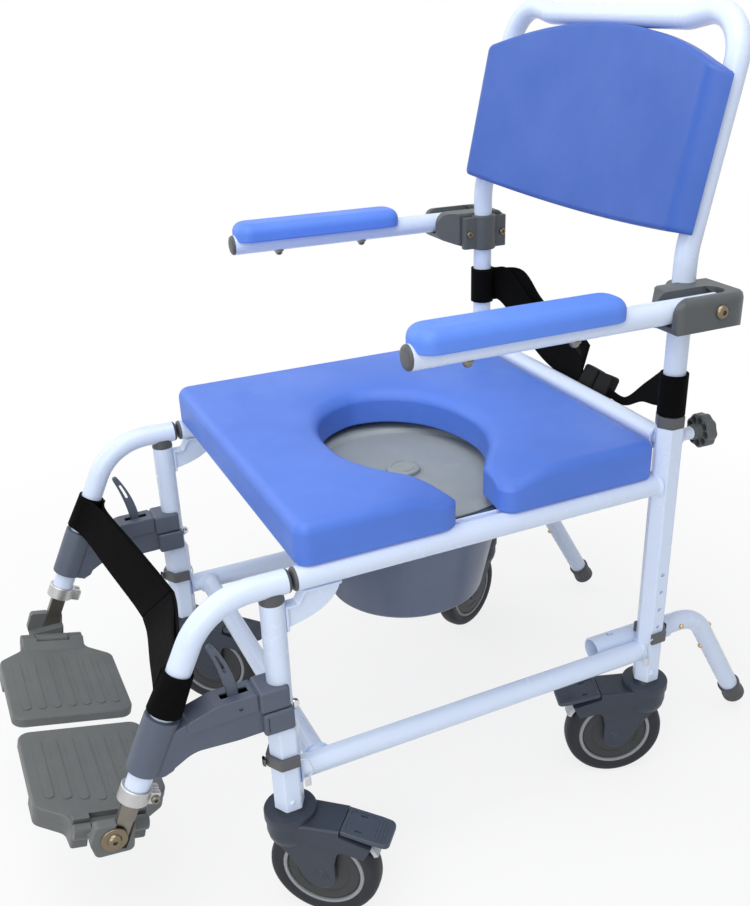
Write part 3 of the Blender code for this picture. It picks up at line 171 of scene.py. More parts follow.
floor = bpy.data.objects.new("floor", floor_mesh)
bpy.context.scene.collection.objects.link(floor)

# Front legs: a round steel tube pushed into a hexagonal foot, welded and powder coated white, with a pressed gusset
# welded into the corner under the seat rail and a grey plug on top, on which the footrest hanger turns.
tube_r = 0.0127
leg_x = 0.215
leg_bottom = 0.144
sleeve_top = 0.247
front_leg_top = 0.4026
hex_corner = 0.030 / math.sqrt(3)


def finish(name, slot, sockets):
    """A new material for a slot: its shader with the sockets that stay the same, and its Object coordinates."""
    material = bpy.data.materials.new(name)
    material["slot"] = slot
    material.use_nodes = True
    shader = material.node_tree.nodes["Principled BSDF"]
    for socket, value in sockets.items():
        shader.inputs[socket].default_value = value
    return material, shader.inputs, Wire(material.node_tree).node("TexCoord", {}, {}, "Object")


def powder_coat():
    """White powder coat: a slight orange peel, a thin clear gloss and a trace of limescale."""
    material, shader, place = finish("powder_coat", "white_powder_coat", {"Specular IOR Level": 0.45})
    peel = place.node("TexNoise", {}, {"Vector": place, "Scale": 520.0, "Detail": 2.0})
    film = place.node("TexNoise", {}, {"Vector": place, "Scale": 40.0, "Detail": 5.0, "Roughness": 0.65})
    haze = film.band(0.38, 0.72)
    haze.tint((0.71, 0.805, 0.985), (0.70, 0.795, 0.975)).into(shader["Base Color"])
    (0.26 + 0.02 * haze).into(shader["Roughness"])
    place.node("Bump", {}, {"Strength": 0.06, "Distance": 0.0003, "Height": peel}).into(shader["Normal"])
    return material


def moulded(name, slot, colour, roughness, grain=900.0, shine=0.4):
    """Moulded plastic or rubber: a spark-eroded grain, faint flow marks and rubbed, shinier places."""
    material, shader, place = finish(name, slot, {"Specular IOR Level": shine})
    cloud = place.node("TexNoise", {}, {"Vector": place, "Scale": 28.0, "Detail": 4.0, "Roughness": 0.6})
    rubbed = cloud.band(0.35, 0.68)
    pits = place.node("TexNoise", {}, {"Vector": place, "Scale": grain, "Detail": 1.0})
    rubbed.tint([0.96 * c for c in colour], [1.04 * c for c in colour]).into(shader["Base Color"])
    (roughness + 0.03 - 0.06 * rubbed).into(shader["Roughness"])
    place.node("Bump", {}, {"Strength": 0.16, "Distance": 0.0003, "Height": pits}).into(shader["Normal"])
    return material


def corner_round(before, corner, after, radius, steps):
    """Points round a corner, from one straight to the next."""
    back = (before - corner).normalized()
    on = (after - corner).normalized()
    turn = math.pi - back.angle(on)
    if radius == 0 or turn < 0.002:
        return [corner]
    reach = radius * math.tan(turn / 2)
    middle = corner + (back + on).normalized() * radius / math.cos(turn / 2)
    first = corner + back * reach - middle
    last = corner + on * reach - middle
    return [middle + radius * first.slerp(last, i / steps).normalized() for i in range(steps + 1)]


def rounded(corners, steps=5):
    """A closed outline from (across, up, radius) corners."""
    outline = []
    for i, (across, rise, radius) in enumerate(corners):
        before = Vector(corners[i - 1][:2])
        after = Vector(corners[(i + 1) % len(corners)][:2])
        outline += corner_round(before, Vector((across, rise)), after, radius, steps)
    return outline


def oblong(low, high, radius, steps=5):
    """A rectangle's outline with rounded corners."""
    (x_low, y_low), (x_high, y_high) = low, high
    corners = ((x_low, y_low), (x_high, y_low), (x_high, y_high), (x_low, y_high))
    return rounded([(*corner, radius) for corner in corners], steps)


def bent(points, radii, steps=14):
    """A path through points, with its inner corners turned to their radii."""
    points = [Vector(p) for p in points]
    path = [points[0]]
    for before, corner, after, radius in zip(points, points[1:], points[2:], radii):
        path += corner_round(before, corner, after, radius, steps)
    return path + [points[-1]]


def swept(path, radius, sides=32):
    """A round bar along a path, closed at both ends. Give a list of radii for a bar that changes."""
    path = [Vector(p) for p in path]
    radii = radius if isinstance(radius, list) else [radius] * len(path)
    runs = [(b - a).normalized() for a, b in zip(path, path[1:])]
    ways = [runs[0]] + [(a + b).normalized() for a, b in zip(runs, runs[1:])] + [runs[-1]]
    form = bmesh.new()
    bmesh.ops.create_circle(form, cap_ends=True, segments=sides, radius=radii[0])
    turn = Vector((0, 0, 1)).rotation_difference(ways[0]).to_matrix().to_4x4()
    bmesh.ops.transform(form, matrix=Matrix.Translation(path[0]) @ turn, verts=form.verts)
    form.faces.ensure_lookup_table()
    end = form.faces[0]
    for i in range(1, len(path)):
        grown = bmesh.ops.extrude_face_region(form, geom=[end])["geom"]
        rim = [g for g in grown if isinstance(g, bmesh.types.BMVert)]
        end = next(g for g in grown if isinstance(g, bmesh.types.BMFace))
        turn = ways[i - 1].rotation_difference(ways[i]).to_matrix().to_4x4()
        move = Matrix.Translation(path[i]) @ turn @ Matrix.Scale(radii[i] / radii[i - 1], 4)
        bmesh.ops.transform(form, matrix=move @ Matrix.Translation(-path[i - 1]), verts=rim)
    bmesh.ops.recalc_face_normals(form, faces=form.faces)
    return form


def lathed(profile, place=(0, 0, 0), way=(0, 0, 1), steps=48):
    """A profile of (radius, height) turned about an axis through a place."""
    form = bmesh.new()
    points = [form.verts.new((r, 0, h)) for r, h in profile]
    edges = [form.edges.new(pair) for pair in zip(points, points[1:])]
    bmesh.ops.spin(form, geom=points + edges, cent=(0, 0, 0), axis=(0, 0, 1), angle=2 * math.pi, steps=steps,
                   use_merge=True)
    bmesh.ops.remove_doubles(form, verts=form.verts, dist=1e-6)
    bmesh.ops.recalc_face_normals(form, faces=form.faces)
    turn = Vector((0, 0, 1)).rotation_difference(Vector(way)).to_matrix().to_4x4()
    bmesh.ops.transform(form, matrix=Matrix.Translation(place) @ turn, verts=form.verts)
    return form


def ring(profile, place=(0, 0, 0), way=(0, 0, 1), steps=48):
    """A closed profile turned about an axis, with a hole in the middle."""
    return lathed(profile + profile[:1], place, way, steps)


FROM_SIDE = Matrix(((0, 0, 1, 0), (1, 0, 0, 0), (0, 1, 0, 0), (0, 0, 0, 1)))
FROM_REAR = Matrix(((1, 0, 0, 0), (0, 0, -1, 0), (0, 1, 0, 0), (0, 0, 0, 1)))


def slab(outline, low, high, edge=0.0, view=None, segments=3):
    """An outline with a thickness and rounded rims, drawn in plan, or seen from the side or the rear."""
    form = bmesh.new()
    face = form.faces.new([form.verts.new((p[0], p[1], low)) for p in outline])
    grown = bmesh.ops.extrude_face_region(form, geom=[face])["geom"]
    raised = [g for g in grown if isinstance(g, bmesh.types.BMVert)]
    bmesh.ops.translate(form, vec=(0, 0, high - low), verts=raised)
    bmesh.ops.recalc_face_normals(form, faces=form.faces)
    if edge:
        rims = [e for e in form.edges if abs(e.verts[0].co.z - e.verts[1].co.z) < 1e-7]
        bmesh.ops.bevel(form, geom=rims, offset=edge, offset_type="OFFSET", segments=segments, profile=0.5,
                        affect="EDGES", material=-1, clamp_overlap=True)
    if view is not None:
        bmesh.ops.transform(form, matrix=view, verts=form.verts)
        bmesh.ops.recalc_face_normals(form, faces=form.faces)
    return form


def block(low, high, edge=0.0):
    """A box with rounded edges."""
    form = bmesh.new()
    bmesh.ops.create_cube(form, size=1)
    bmesh.ops.scale(form, vec=Vector(high) - Vector(low), verts=form.verts)
    bmesh.ops.translate(form, vec=(Vector(low) + Vector(high)) / 2, verts=form.verts)
    if edge:
        bmesh.ops.bevel(form, geom=form.edges, offset=edge, offset_type="OFFSET", segments=3, profile=0.5,
                        affect="EDGES", material=-1, clamp_overlap=True)
    return form


def together(first, *others):
    """Several forms as one."""
    for form in others:
        mesh = bpy.data.meshes.new("joined")
        form.to_mesh(mesh)
        form.free()
        first.from_mesh(mesh)
        bpy.data.meshes.remove(mesh)
    return first


def carved(form, *cutters, how="DIFFERENCE"):
    """A form with the cutters taken out of it, or what it shares with them."""
    objects = []
    for made in (form, *cutters):
        mesh = bpy.data.meshes.new("carving")
        made.to_mesh(mesh)
        made.free()
        objects.append(bpy.data.objects.new("carving", mesh))
        bpy.context.scene.collection.objects.link(objects[-1])
    for cutter in objects[1:]:
        cut = objects[0].modifiers.new("cut", "BOOLEAN")
        cut.operation = how
        cut.object = cutter
    graph = bpy.context.evaluated_depsgraph_get()
    mesh = bpy.data.meshes.new_from_object(objects[0].evaluated_get(graph))
    result = bmesh.new()
    result.from_mesh(mesh)
    for made in objects:
        bpy.data.objects.remove(made)
    return result


def moved(form, matrix):
    bmesh.ops.transform(form, matrix=matrix, verts=form.verts)
    return form


def mirrored(form):
    """The right hand twin of a left hand form."""
    twin = form.copy()
    bmesh.ops.scale(twin, vec=(-1, 1, 1), verts=twin.verts)
    bmesh.ops.reverse_faces(twin, faces=twin.faces)
    return twin


def fitted(form, name, material, body, nodes=(), crease=38):
    """Makes a form a piece: its material, its smooth and sharp edges, and the body that it rides on."""
    bmesh.ops.translate(form, vec=datum, verts=form.verts)
    mesh = bpy.data.meshes.new(name)
    form.to_mesh(mesh)
    form.free()
    mesh.materials.append(material)
    mesh.shade_smooth()
    mesh.set_sharp_from_angle(angle=math.radians(crease))
    piece = bpy.data.objects.new(name, mesh)
    bpy.context.scene.collection.objects.link(piece)
    even = piece.modifiers.new("even_shading", "WEIGHTED_NORMAL")
    even.keep_sharp = True
    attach(piece, body)
    if nodes:
        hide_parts(*nodes)
    return piece


def fitted_pair(form, name, material, body, nodes=(), crease=38):
    """A left hand piece and its twin. A name with {} takes the side."""
    pieces = []
    for side, made in (("right", mirrored(form)), ("left", form)):
        pieces.append(fitted(made, f"{name}_{side}", material, body.format(side),
                             [node.format(side) for node in nodes], crease))
    return pieces


def hexagon(x, y, corner, edge, steps):
    """A hexagon's outline in plan, with rounded corners."""
    angles = [math.radians(60 * i) for i in range(6)]
    return rounded([(x + corner * math.sin(a), y + corner * math.cos(a), edge) for a in angles], steps)


def hex_bar(x, y, low, high):
    """A standing hexagonal tube."""
    return slab(hexagon(x, y, hex_corner, 0.003, 6), low, high, 0.0005, None, 2)


def curve(first, pull, last, t):
    """A point of a curve that leaves its first point and reaches its last along a third one."""
    return (1 - t) ** 2 * first + 2 * t * (1 - t) * pull + t * t * last


def weld(radius, place, way, spread=0.0034, reach=0.0042):
    """A smooth weld fillet round the end of a tube."""
    profile = [(radius - 0.001, 0), (radius + spread, 0), (radius + 0.45 * spread, 0.22 * reach),
               (radius + 0.15 * spread, 0.55 * reach), (radius + 0.0002, reach), (radius - 0.001, reach)]
    return ring(profile, place, way, 40)


coat = powder_coat()
cap_grey = moulded("plug_plastic", "grey_plastic", (0.085, 0.088, 0.095), 0.42)
drawn_in = lathed([(0, leg_bottom - 0.01), (0.03, leg_bottom - 0.01), (0.03, sleeve_top - 0.012),
                   (0.0172, sleeve_top), (0.0126, sleeve_top + 0.011), (0, sleeve_top + 0.011)], (leg_x, 0, 0))
front_foot = carved(hex_bar(leg_x, 0, leg_bottom, sleeve_top + 0.010), drawn_in, how="INTERSECT")
front_post = swept([(leg_x, 0, sleeve_top), (leg_x, 0, front_leg_top)], tube_r)
snap = lathed([(0, 0.0024), (0.0016, 0.0021), (0.0026, 0.001), (0.0028, 0), (0, 0)],
              (leg_x + 0.0149, -0.0015, leg_bottom + 0.012), (1, 0, 0), 20)
fitted_pair(together(front_foot, front_post, snap), "front_leg_tube", coat, "chair_frame", ["front_leg_{}"])

gusset_ends = [Vector((tube_r - 0.002, 0.3672)), Vector((0.0662, 0.3759)), Vector((0.0725, 0.4070))]
gusset_edge = [curve(*gusset_ends, i / 12) for i in range(13)]
gusset_web = slab([(0.006, 0.3932), (0.006, 0.3672)] + gusset_edge + [(0.0318, 0.4070), (0.0255, 0.3932)],
                  leg_x - 0.0032, leg_x + 0.0032, 0.0008, FROM_SIDE, 2)
lip_side = rounded([(0.0115, 0.3918, 0), (0.0262, 0.3918, 0.003), (0.0335, 0.4052, 0.003), (0.0718, 0.4052, 0),
                    (0.0725, 0.4075, 0), (0.0318, 0.4075, 0.003), (0.0246, 0.3942, 0.003), (0.0115, 0.3942, 0)])
gusset_lip = slab(lip_side, leg_x - 0.0075, leg_x + 0.0075, 0.0009, FROM_SIDE, 2)
foot_side = oblong((0.0118, 0.3645), (0.0148, 0.3940), 0)
gusset_foot = slab(foot_side, leg_x - 0.0062, leg_x + 0.0062, 0.0008, FROM_SIDE, 2)
fitted_pair(together(gusset_web, gusset_lip, gusset_foot), "front_leg_gusset", coat, "chair_frame")

leg_plug = lathed([(0, front_leg_top - 0.001), (0.0129, front_leg_top - 0.001), (0.0131, front_leg_top + 0.0006),
                   (0.0127, front_leg_top + 0.0012), (0.0122, front_leg_top + 0.010), (0, front_leg_top + 0.010)],
                  (leg_x, 0, 0))
fitted_pair(leg_plug, "front_leg_plug", cap_grey, "hanger_{}")

# Rear legs: hexagonal tube with a row of height holes at 25 mm, a welded cross tube, a boss for each hand knob and
# an open socket tube for each anti-tip leg. The grey hexagonal bush on top guides the cane.
wheelbase = 0.484
rear_leg_top = 0.492
rail_z = 0.187
socket_x = 0.1858
knob_z = 0.476


def drill(radius, depth, place, way, steps=24):
    """A round cutter that reaches to both sides of a surface."""
    return lathed([(0, -depth), (radius, -depth), (radius, depth), (0, depth)], place, way, steps)


holes = [drill(0.0029, 0.004, (leg_x + 0.015, wheelbase, z), (1, 0, 0)) for z in (0.2257, 0.2508, 0.2759, 0.3005)]
rear_leg = carved(hex_bar(leg_x, wheelbase, leg_bottom, rear_leg_top), *holes)
boss_y = wheelbase + 0.015
knob_boss = lathed([(0, -0.006), (0.0105, -0.006), (0.0098, 0.0008), (0.0082, 0.0024), (0.0075, 0.005),
                    (0.0075, 0.0173), (0.0069, 0.018), (0, 0.018)], (leg_x, boss_y, knob_z), (0, 1, 0))
socket_ring = [(0.0131, 0), (0.0147, 0), (0.0152, 0.0006), (0.0152, 0.1164), (0.0147, 0.117), (0.0131, 0.117)]
socket = ring(socket_ring, (socket_x, wheelbase - 0.066, rail_z), (0, 1, 0))
oval = slab(oblong((socket_x - 0.0035, wheelbase - 0.044), (socket_x + 0.0035, wheelbase - 0.034), 0.0034),
            rail_z + 0.009, rail_z + 0.018)
socket = carved(socket, oval)
end_snap = lathed([(0, 0.0022), (0.003, 0.0019), (0.0036, 0.0008), (0.0038, 0), (0, 0)],
                  (leg_x + 0.0149, wheelbase - 0.003, leg_bottom + 0.013), (1, 0, 0), 24)
fitted_pair(together(rear_leg, knob_boss, socket, end_snap), "rear_leg_tube", coat, "chair_frame")
cross_r = 0.012
cross_end = leg_x - 0.015


def cross_tube(y, z, reach, bead, name, node):
    """A tube across the chair, with a weld bead near each end."""
    tube = swept([(-reach, y, z), (reach, y, z)], cross_r)
    beads = [weld(cross_r, (side * bead, y, z), (-side, 0, 0)) for side in (1, -1)]
    fitted(together(tube, *beads), name, coat, "chair_frame", [node])


cross_tube(wheelbase, 0.472, cross_end, cross_end, "rear_cross_tube", "rear_frame")

bush = slab(hexagon(leg_x, wheelbase, 0.0179, 0.004, 4), rear_leg_top, rear_leg_top + 0.014, 0.0012)
bush = carved(bush, swept([(leg_x, wheelbase, rear_leg_top - 0.01), (leg_x, wheelbase, rear_leg_top + 0.03)],
                          tube_r + 0.0003))
bush_grey = moulded("bush_plastic", "grey_plastic", (0.098, 0.103, 0.108), 0.45)
fitted_pair(bush, "rear_leg_bush", bush_grey, "chair_frame")

# Lower frame: a rail on each side from leg to leg and one cross tube behind the front legs, all one inch tube with
# smooth weld fillets, powder coated with the legs.
rail_end = 0.0135
lower_rail = swept([(leg_x, rail_end, rail_z), (leg_x, wheelbase - rail_end, rail_z)], tube_r)
rail_welds = [weld(tube_r, (leg_x, rail_end - 0.0005, rail_z), (0, 1, 0)),
              weld(tube_r, (leg_x, wheelbase - rail_end + 0.0005, rail_z), (0, -1, 0))]
fitted_pair(together(lower_rail, *rail_welds), "lower_rail", coat, "chair_frame")
rail_bead = leg_x - 0.0112
cross_tube(0.038, rail_z, leg_x, rail_bead, "lower_cross_tube", "lower_frame")

# Seat frame: side rails welded to the rear legs and plugged at the front, a cross tube under the seat's front, and
# folded strips inboard of the rails whose lower flanges carry the pail's rim.
seat_rail_z = 0.420
rail_front = 0.0255
seat_rail = swept([(leg_x, rail_front, seat_rail_z), (leg_x, wheelbase - rail_end, seat_rail_z)], tube_r)
seat_weld = weld(tube_r, (leg_x, wheelbase - rail_end + 0.0005, seat_rail_z), (0, -1, 0))
fitted_pair(together(seat_rail, seat_weld), "seat_rail", coat, "chair_frame")
end_cap = [(0, 0.0042), (0.0085, 0.0040), (0.0112, 0.0031), (0.0124, 0.0016), (0.0126, 0), (0.0108, -0.002),
           (0, -0.002)]
fitted_pair(lathed(end_cap, (leg_x, rail_front, seat_rail_z), (0, -1, 0)), "seat_rail_cap", cap_grey, "chair_frame")
cross_tube(0.060, seat_rail_z, leg_x, rail_bead, "seat_cross_tube", "seat_frame")
for strip_side, strip_lip in ((1, 0.1743), (-1, 0.0969)):
    fold = rounded([(side_x, z, r) for side_x, z, r in ((strip_lip, 0.4140, 0.001), (0.2033, 0.4140, 0.003),
                                                        (0.2033, 0.4317, 0.0005), (0.2003, 0.4317, 0.0005),
                                                        (0.2003, 0.4170, 0.001), (strip_lip, 0.4170, 0.001))])
    strip = slab([(strip_side * p.x, p.y) for p in fold], -0.420, -0.090, 0.0005, FROM_REAR, 2)
    bmesh.ops.recalc_face_normals(strip, faces=strip.faces)
    fitted(strip, f"pail_strip_{'left' if strip_side > 0 else 'right'}", coat, "chair_frame")

# Casters: a plated stem that slides up the leg, a swivel fork moulded in dark nylon with a hood over the wheel, a
# rocking brake pedal on the hood, and a wheel with a rubber tyre, a light grey ring and a stepped dark hub.
wheel_r = 0.0635
trail = 0.038
pedal_from = 0.0621
pedal_fall = 0.2
caster_nylon = moulded("caster_nylon", "dark_plastic", (0.040, 0.050, 0.071), 0.40, shine=0.30)
pedal_nylon = moulded("pedal_nylon", "dark_plastic", (0.055, 0.070, 0.098), 0.44)
hub_nylon = moulded("hub_nylon", "dark_plastic", (0.030, 0.032, 0.036), 0.42)
ring_nylon = moulded("wheel_ring_nylon", "grey_plastic", (0.30, 0.31, 0.325), 0.40)
tread = moulded("tyre_tread", "tyre_rubber", (0.014, 0.0155, 0.0225), 0.58, 600.0)
shoe_plastic = moulded("shoe_plastic", "grey_plastic", (0.62, 0.63, 0.66), 0.45)


def plated(name, slot, colour, roughness):
    """Plated or cast metal: a soft grain, thin scratches and duller, handled places."""
    material, shader, place = finish(name, slot, {"Metallic": 1.0})
    cloud = place.node("TexNoise", {}, {"Vector": place, "Scale": 45.0, "Detail": 4.0})
    dull = cloud.band(0.38, 0.68)
    grain = place.node("TexNoise", {}, {"Vector": place, "Scale": 1400.0, "Detail": 1.0})
    dull.tint(colour, [0.86 * c for c in colour]).into(shader["Base Color"])
    (roughness + 0.10 * dull).into(shader["Roughness"])
    place.node("Bump", {}, {"Strength": 0.08, "Distance": 0.0002, "Height": grain}).into(shader["Normal"])
    return material


def wheel_well():
    return drill(0.067, 0.0175, (0, trail, wheel_r), (1, 0, 0), 72)


def about_axle(radius, degrees):
    angle = math.radians(degrees)
    return trail + radius * math.cos(angle), wheel_r + radius * math.sin(angle)


chrome = plated("bright_plating", "chrome", (0.72, 0.72, 0.71), 0.16)
boss_arc = [(*about_axle(0.0171, a), 0) for a in range(215, 371, 9)]
cheek_side = rounded([(-0.010, 0.1300, 0), (-0.0125, 0.1030, 0.006), (0.0030, 0.0865, 0.016), (0.0165, 0.0650, 0.012)]
                     + boss_arc + [(0.0545, 0.0830, 0.012), (0.0585, 0.1035, 0.009), (0.0870, 0.1005, 0.002),
                                   (0.0860, 0.1090, 0), (0.0550, 0.1300, 0)])
cheeks = carved(slab(cheek_side, -0.0212, 0.0212, 0.0028, FROM_SIDE), wheel_well())
hood_plan = [(0.0272 * math.cos(math.radians(a)), 0.0272 * math.sin(math.radians(a)), 0) for a in range(148, 393, 6)]
hood_plan += [(0.0228, 0.030, 0.010), (0.0215, 0.0970, 0.005), (-0.0215, 0.0970, 0.005), (-0.0228, 0.030, 0.010)]
hood_side = [(-0.030, 0.1130), (0.018, 0.1120), (0.058, 0.1062), (0.0885, 0.0988), (0.0968, 0.1148), (0.0618, 0.1262),
             (0.0618, 0.1345), (-0.030, 0.1345)]
hood = carved(slab(rounded(hood_plan), 0.0930, 0.1335, 0.0042), slab(hood_side, -0.03, 0.03, 0, FROM_SIDE),
              how="INTERSECT")
hood = carved(hood, wheel_well())
cup = [(0, 0.1200), (0.0266, 0.1200), (0.0266, 0.1120), (0.0256, 0.1055), (0.0228, 0.1000), (0.0180, 0.0965),
       (0, 0.0955)]
cup = carved(lathed(cup, steps=64), wheel_well())
collar_ring = [(0.0105, 0.1400), (0.0262, 0.1400), (0.0283, 0.1394), (0.0290, 0.1380), (0.0290, 0.1292),
               (0.0283, 0.1278), (0.0264, 0.1272), (0.0262, 0.1200), (0.0105, 0.1200)]
collar = ring(collar_ring, steps=64)
axle_end = [(0, 0.0016), (0.0048, 0.0016), (0.0056, 0.0008), (0.0088, 0.0008), (0.0097, 0.0001), (0.0097, -0.0012),
            (0, -0.0012)]
axle_ends = [lathed(axle_end, (side * 0.0212, trail, wheel_r), (side, 0, 0), 32) for side in (1, -1)]
fork = together(cheeks, hood, cup, collar, *axle_ends)

pedal_plan = rounded([(-0.0196, 0.0624, 0.0012), (0.0196, 0.0624, 0.0012), (0.0200, 0.1000, 0.02),
                      (0.0188, 0.1160, 0.007), (-0.0188, 0.1160, 0.007), (-0.0200, 0.1000, 0.02)])
slots = [block((side * 0.0115 - 0.0012, 0.0770, -0.0022), (side * 0.0115 + 0.0012, 0.0845, 0.002))
         for side in (1, -1)]
dent = slab(oblong((-0.0150, 0.0665), (0.0150, 0.0950), 0.003), -0.0007, 0.002)
pedal_pad = carved(slab(pedal_plan, -0.0058, 0, 0.0013), dent, *slots)
pedal_ribs = [block((-0.0150, y - 0.0008, -0.0004), (0.0150, y + 0.0008, 0.0008), 0.0004)
              for y in (0.0985, 0.1020, 0.1055, 0.1090)]
fall = Matrix.Translation((0, 0, 0.1335 + pedal_fall * pedal_from))
fall[2][1] = -pedal_fall
pedal = moved(together(pedal_pad, *pedal_ribs), fall)
shoe = slab([about_axle(0.0650, a) for a in (42, 38, 34, 30, 26)] + [about_axle(0.0705, a) for a in (26, 34, 42)],
            -0.0090, 0.0090, 0.0012, FROM_SIDE)


def wheel_part(half, steps):
    """A ring about the axle, alike on both sides."""
    return ring([(r, -h) for r, h in half] + half[::-1], (0, trail, wheel_r), (1, 0, 0), steps)


tyre_half = [(0.0470, 0.0112), (0.0488, 0.0126), (0.0520, 0.0136), (0.0560, 0.0138), (0.0592, 0.0128),
             (0.0616, 0.0105), (0.0630, 0.0070), (0.0635, 0.0030)]
tyre = wheel_part(tyre_half, 96)
ring_half = [(0.0424, 0.0108), (0.0430, 0.0124), (0.0464, 0.0124), (0.0472, 0.0114)]
wheel_ring = wheel_part(ring_half, 72)
hub_half = [(0.0048, 0.0150), (0.0150, 0.0150), (0.0168, 0.0142), (0.0176, 0.0122), (0.0230, 0.0112),
            (0.0300, 0.0108), (0.0306, 0.0114), (0.0400, 0.0116), (0.0412, 0.0108), (0.0424, 0.0104)]
wheel_hub = wheel_part(hub_half, 72)
stem = lathed([(0, 0.2930), (0.0090, 0.2930), (0.0100, 0.2915), (0.0100, 0.1440), (0.0140, 0.1438), (0.0140, 0.1402),
               (0, 0.1402)])
for corner, corner_x, corner_y, turn in (("front_left", leg_x, 0, -41), ("front_right", -leg_x, 0, -37),
                                         ("rear_left", leg_x, wheelbase, 159),
                                         ("rear_right", -leg_x, wheelbase, 207)):
    stand = Matrix.Translation((corner_x, corner_y, 0)) @ Matrix.Rotation(math.radians(turn), 4, "Z")
    for form, name, material, body, nodes in (
            (stem, "stem_rod", chrome, "caster_stem", ["caster_stem"]),
            (fork, "fork_body", caster_nylon, "caster_fork", ["caster_fork"]),
            (shoe, "brake_shoe", shoe_plastic, "caster_fork", []),
            (pedal, "pedal_pad", pedal_nylon, "brake_pedal", ["brake_pedal"]),
            (tyre, "tyre", tread, "caster_wheel", ["caster_wheel"]),
            (wheel_ring, "wheel_ring", ring_nylon, "caster_wheel", []),
            (wheel_hub, "wheel_hub", hub_nylon, "caster_wheel", [])):
        fitted(moved(form.copy(), stand), f"{name}_{corner}", material, f"{body}_{corner}",
               [f"{node}_{corner}" for node in nodes])

# Height clips: a grey sprung band pressed round each leg, whose pin locks the caster's stem in one of the holes. A
# thin coated wire with a tag keeps the clip from being lost.
clip_low = 0.204
clip_in = 0.0153
clip_out = 0.0193
clip_outline = rounded([(clip_in, 0.0100, 0.0008), (clip_in, -clip_in / math.sqrt(3), 0.0015),
                        (0, -2 * clip_in / math.sqrt(3), 0.003), (-clip_in, -clip_in / math.sqrt(3), 0.0015),
                        (-clip_in, 0.0100, 0.0008), (-clip_out, 0.0112, 0.0018),
                        (-clip_out, -clip_out / math.sqrt(3), 0.004), (0, -2 * clip_out / math.sqrt(3), 0.006),
                        (clip_out, -clip_out / math.sqrt(3), 0.004), (clip_out, 0.0112, 0.0018)])
clip_band = slab(clip_outline, clip_low, clip_low + 0.014, 0.0011)
head_plan = [(-0.0065, -0.0216, 0.002), (0.0065, -0.0216, 0.002), (0.0040, -0.0236, 0.002), (-0.0040, -0.0236, 0.002)]
clip_head = slab(rounded(head_plan), clip_low + 0.0020, clip_low + 0.011, 0.0008)
wire_path = [(0.0190, 0.0100, clip_low + 0.0095), (0.0205, 0.0190, clip_low + 0.0070),
             (0.0200, 0.0235, clip_low - 0.0100), (0.0185, 0.0170, clip_low - 0.0185)]
wire_loop = swept(bent(wire_path, [0.006, 0.006], 6), 0.0008, 10)
wire_tag = block((0.0165, 0.0130, clip_low - 0.0290), (0.0200, 0.0200, clip_low - 0.0180), 0.0012)
clip_grey = moulded("clip_plastic", "grey_plastic", (0.105, 0.108, 0.115), 0.42)
tag_white = moulded("tag_plastic", "grey_plastic", (0.70, 0.71, 0.74), 0.40)
clip = together(clip_band, clip_head)
tether = together(wire_loop, wire_tag)
turned_back = Matrix.Translation((leg_x, wheelbase, 0)) @ Matrix.Diagonal((1, -1, 1, 1))
for place_name, place_turn in (("front", Matrix.Translation((leg_x, 0, 0))), ("rear", turned_back)):
    for form, name, material, nodes in ((clip, "clip_band", clip_grey, [f"height_clip_{place_name}_{{}}"]),
                                        (tether, "clip_tether", tag_white, [])):
        made = moved(form.copy(), place_turn)
        bmesh.ops.recalc_face_normals(made, faces=made.faces)
        fitted_pair(made, f"{name}_{place_name}", material, f"height_clip_{place_name}_{{}}", nodes)

# Footrest hangers: a bent tube that turns on the front leg's plug, with a moulded bracket that clasps the leg and
# carries its latch nut, a curved release lever in the bracket, and a cast split clamp at the lower end that pinches
# the footplate's post.
lean = math.radians(25)
hanger_run = 0.2225
slope_top = Vector((leg_x, -0.066, seat_rail_z))
downslope = Vector((0, -math.sin(lean), -math.cos(lean)))
behind = Vector((0, math.cos(lean), -math.sin(lean)))


def slope(distance):
    return slope_top + distance * downslope


def tilted(form, distance):
    """A form drawn upright, set into the hanger's slope."""
    return moved(form, Matrix.Translation(slope(distance)) @ Matrix.Rotation(-lean, 4, "X"))


hanger = swept(bent([(leg_x, 0.016, seat_rail_z), slope_top, slope(hanger_run)], [0.075], 20), tube_r)
fitted_pair(hanger, "hanger_bend", coat, "hanger_{}", ["hanger_tube_{}"])
fitted_pair(lathed(end_cap, (leg_x, 0.016, seat_rail_z), (0, 1, 0)), "hanger_cap", cap_grey, "hanger_{}")
end_plug = [(0, 0.0012), (0.0108, 0.0012), (0.0118, 0.0004), (0.0118, -0.004), (0, -0.004)]
fitted_pair(lathed(end_plug, slope(hanger_run), downslope), "hanger_end", cap_grey, "hanger_{}")

bracket_grey = moulded("bracket_plastic", "grey_plastic", (0.092, 0.110, 0.152), 0.42)
sleeve_ring = [(0.0130, 0), (0.0166, 0), (0.0177, 0.0006), (0.0180, 0.0018), (0.0180, 0.0602), (0.0177, 0.0614),
               (0.0166, 0.0620), (0.0130, 0.0620)]
sleeve = ring(sleeve_ring, slope(0.125), downslope, 56)
root_stations = ((0.1315, 0.016), (0.1335, 0.0185), (0.140, 0.0205), (0.160, 0.0210), (0.180, 0.0190),
                 (0.1855, 0.0165), (0.1865, 0.0150))
root_path = [slope(s) + d * behind for s, d in root_stations]
root = swept(root_path, [0.0060, 0.0100, 0.0122, 0.0124, 0.0122, 0.0100, 0.0060], 32)
arm_side = rounded([(-0.1330, 0.2870, 0.004), (-0.0690, 0.3060, 0.03), (-0.0230, 0.3068, 0.001),
                    (-0.0230, 0.2590, 0.001), (-0.0500, 0.2585, 0.03), (-0.0960, 0.2615, 0.03),
                    (-0.1180, 0.2490, 0.02), (-0.1295, 0.2432, 0.003), (-0.1450, 0.2500, 0.002)], 7)
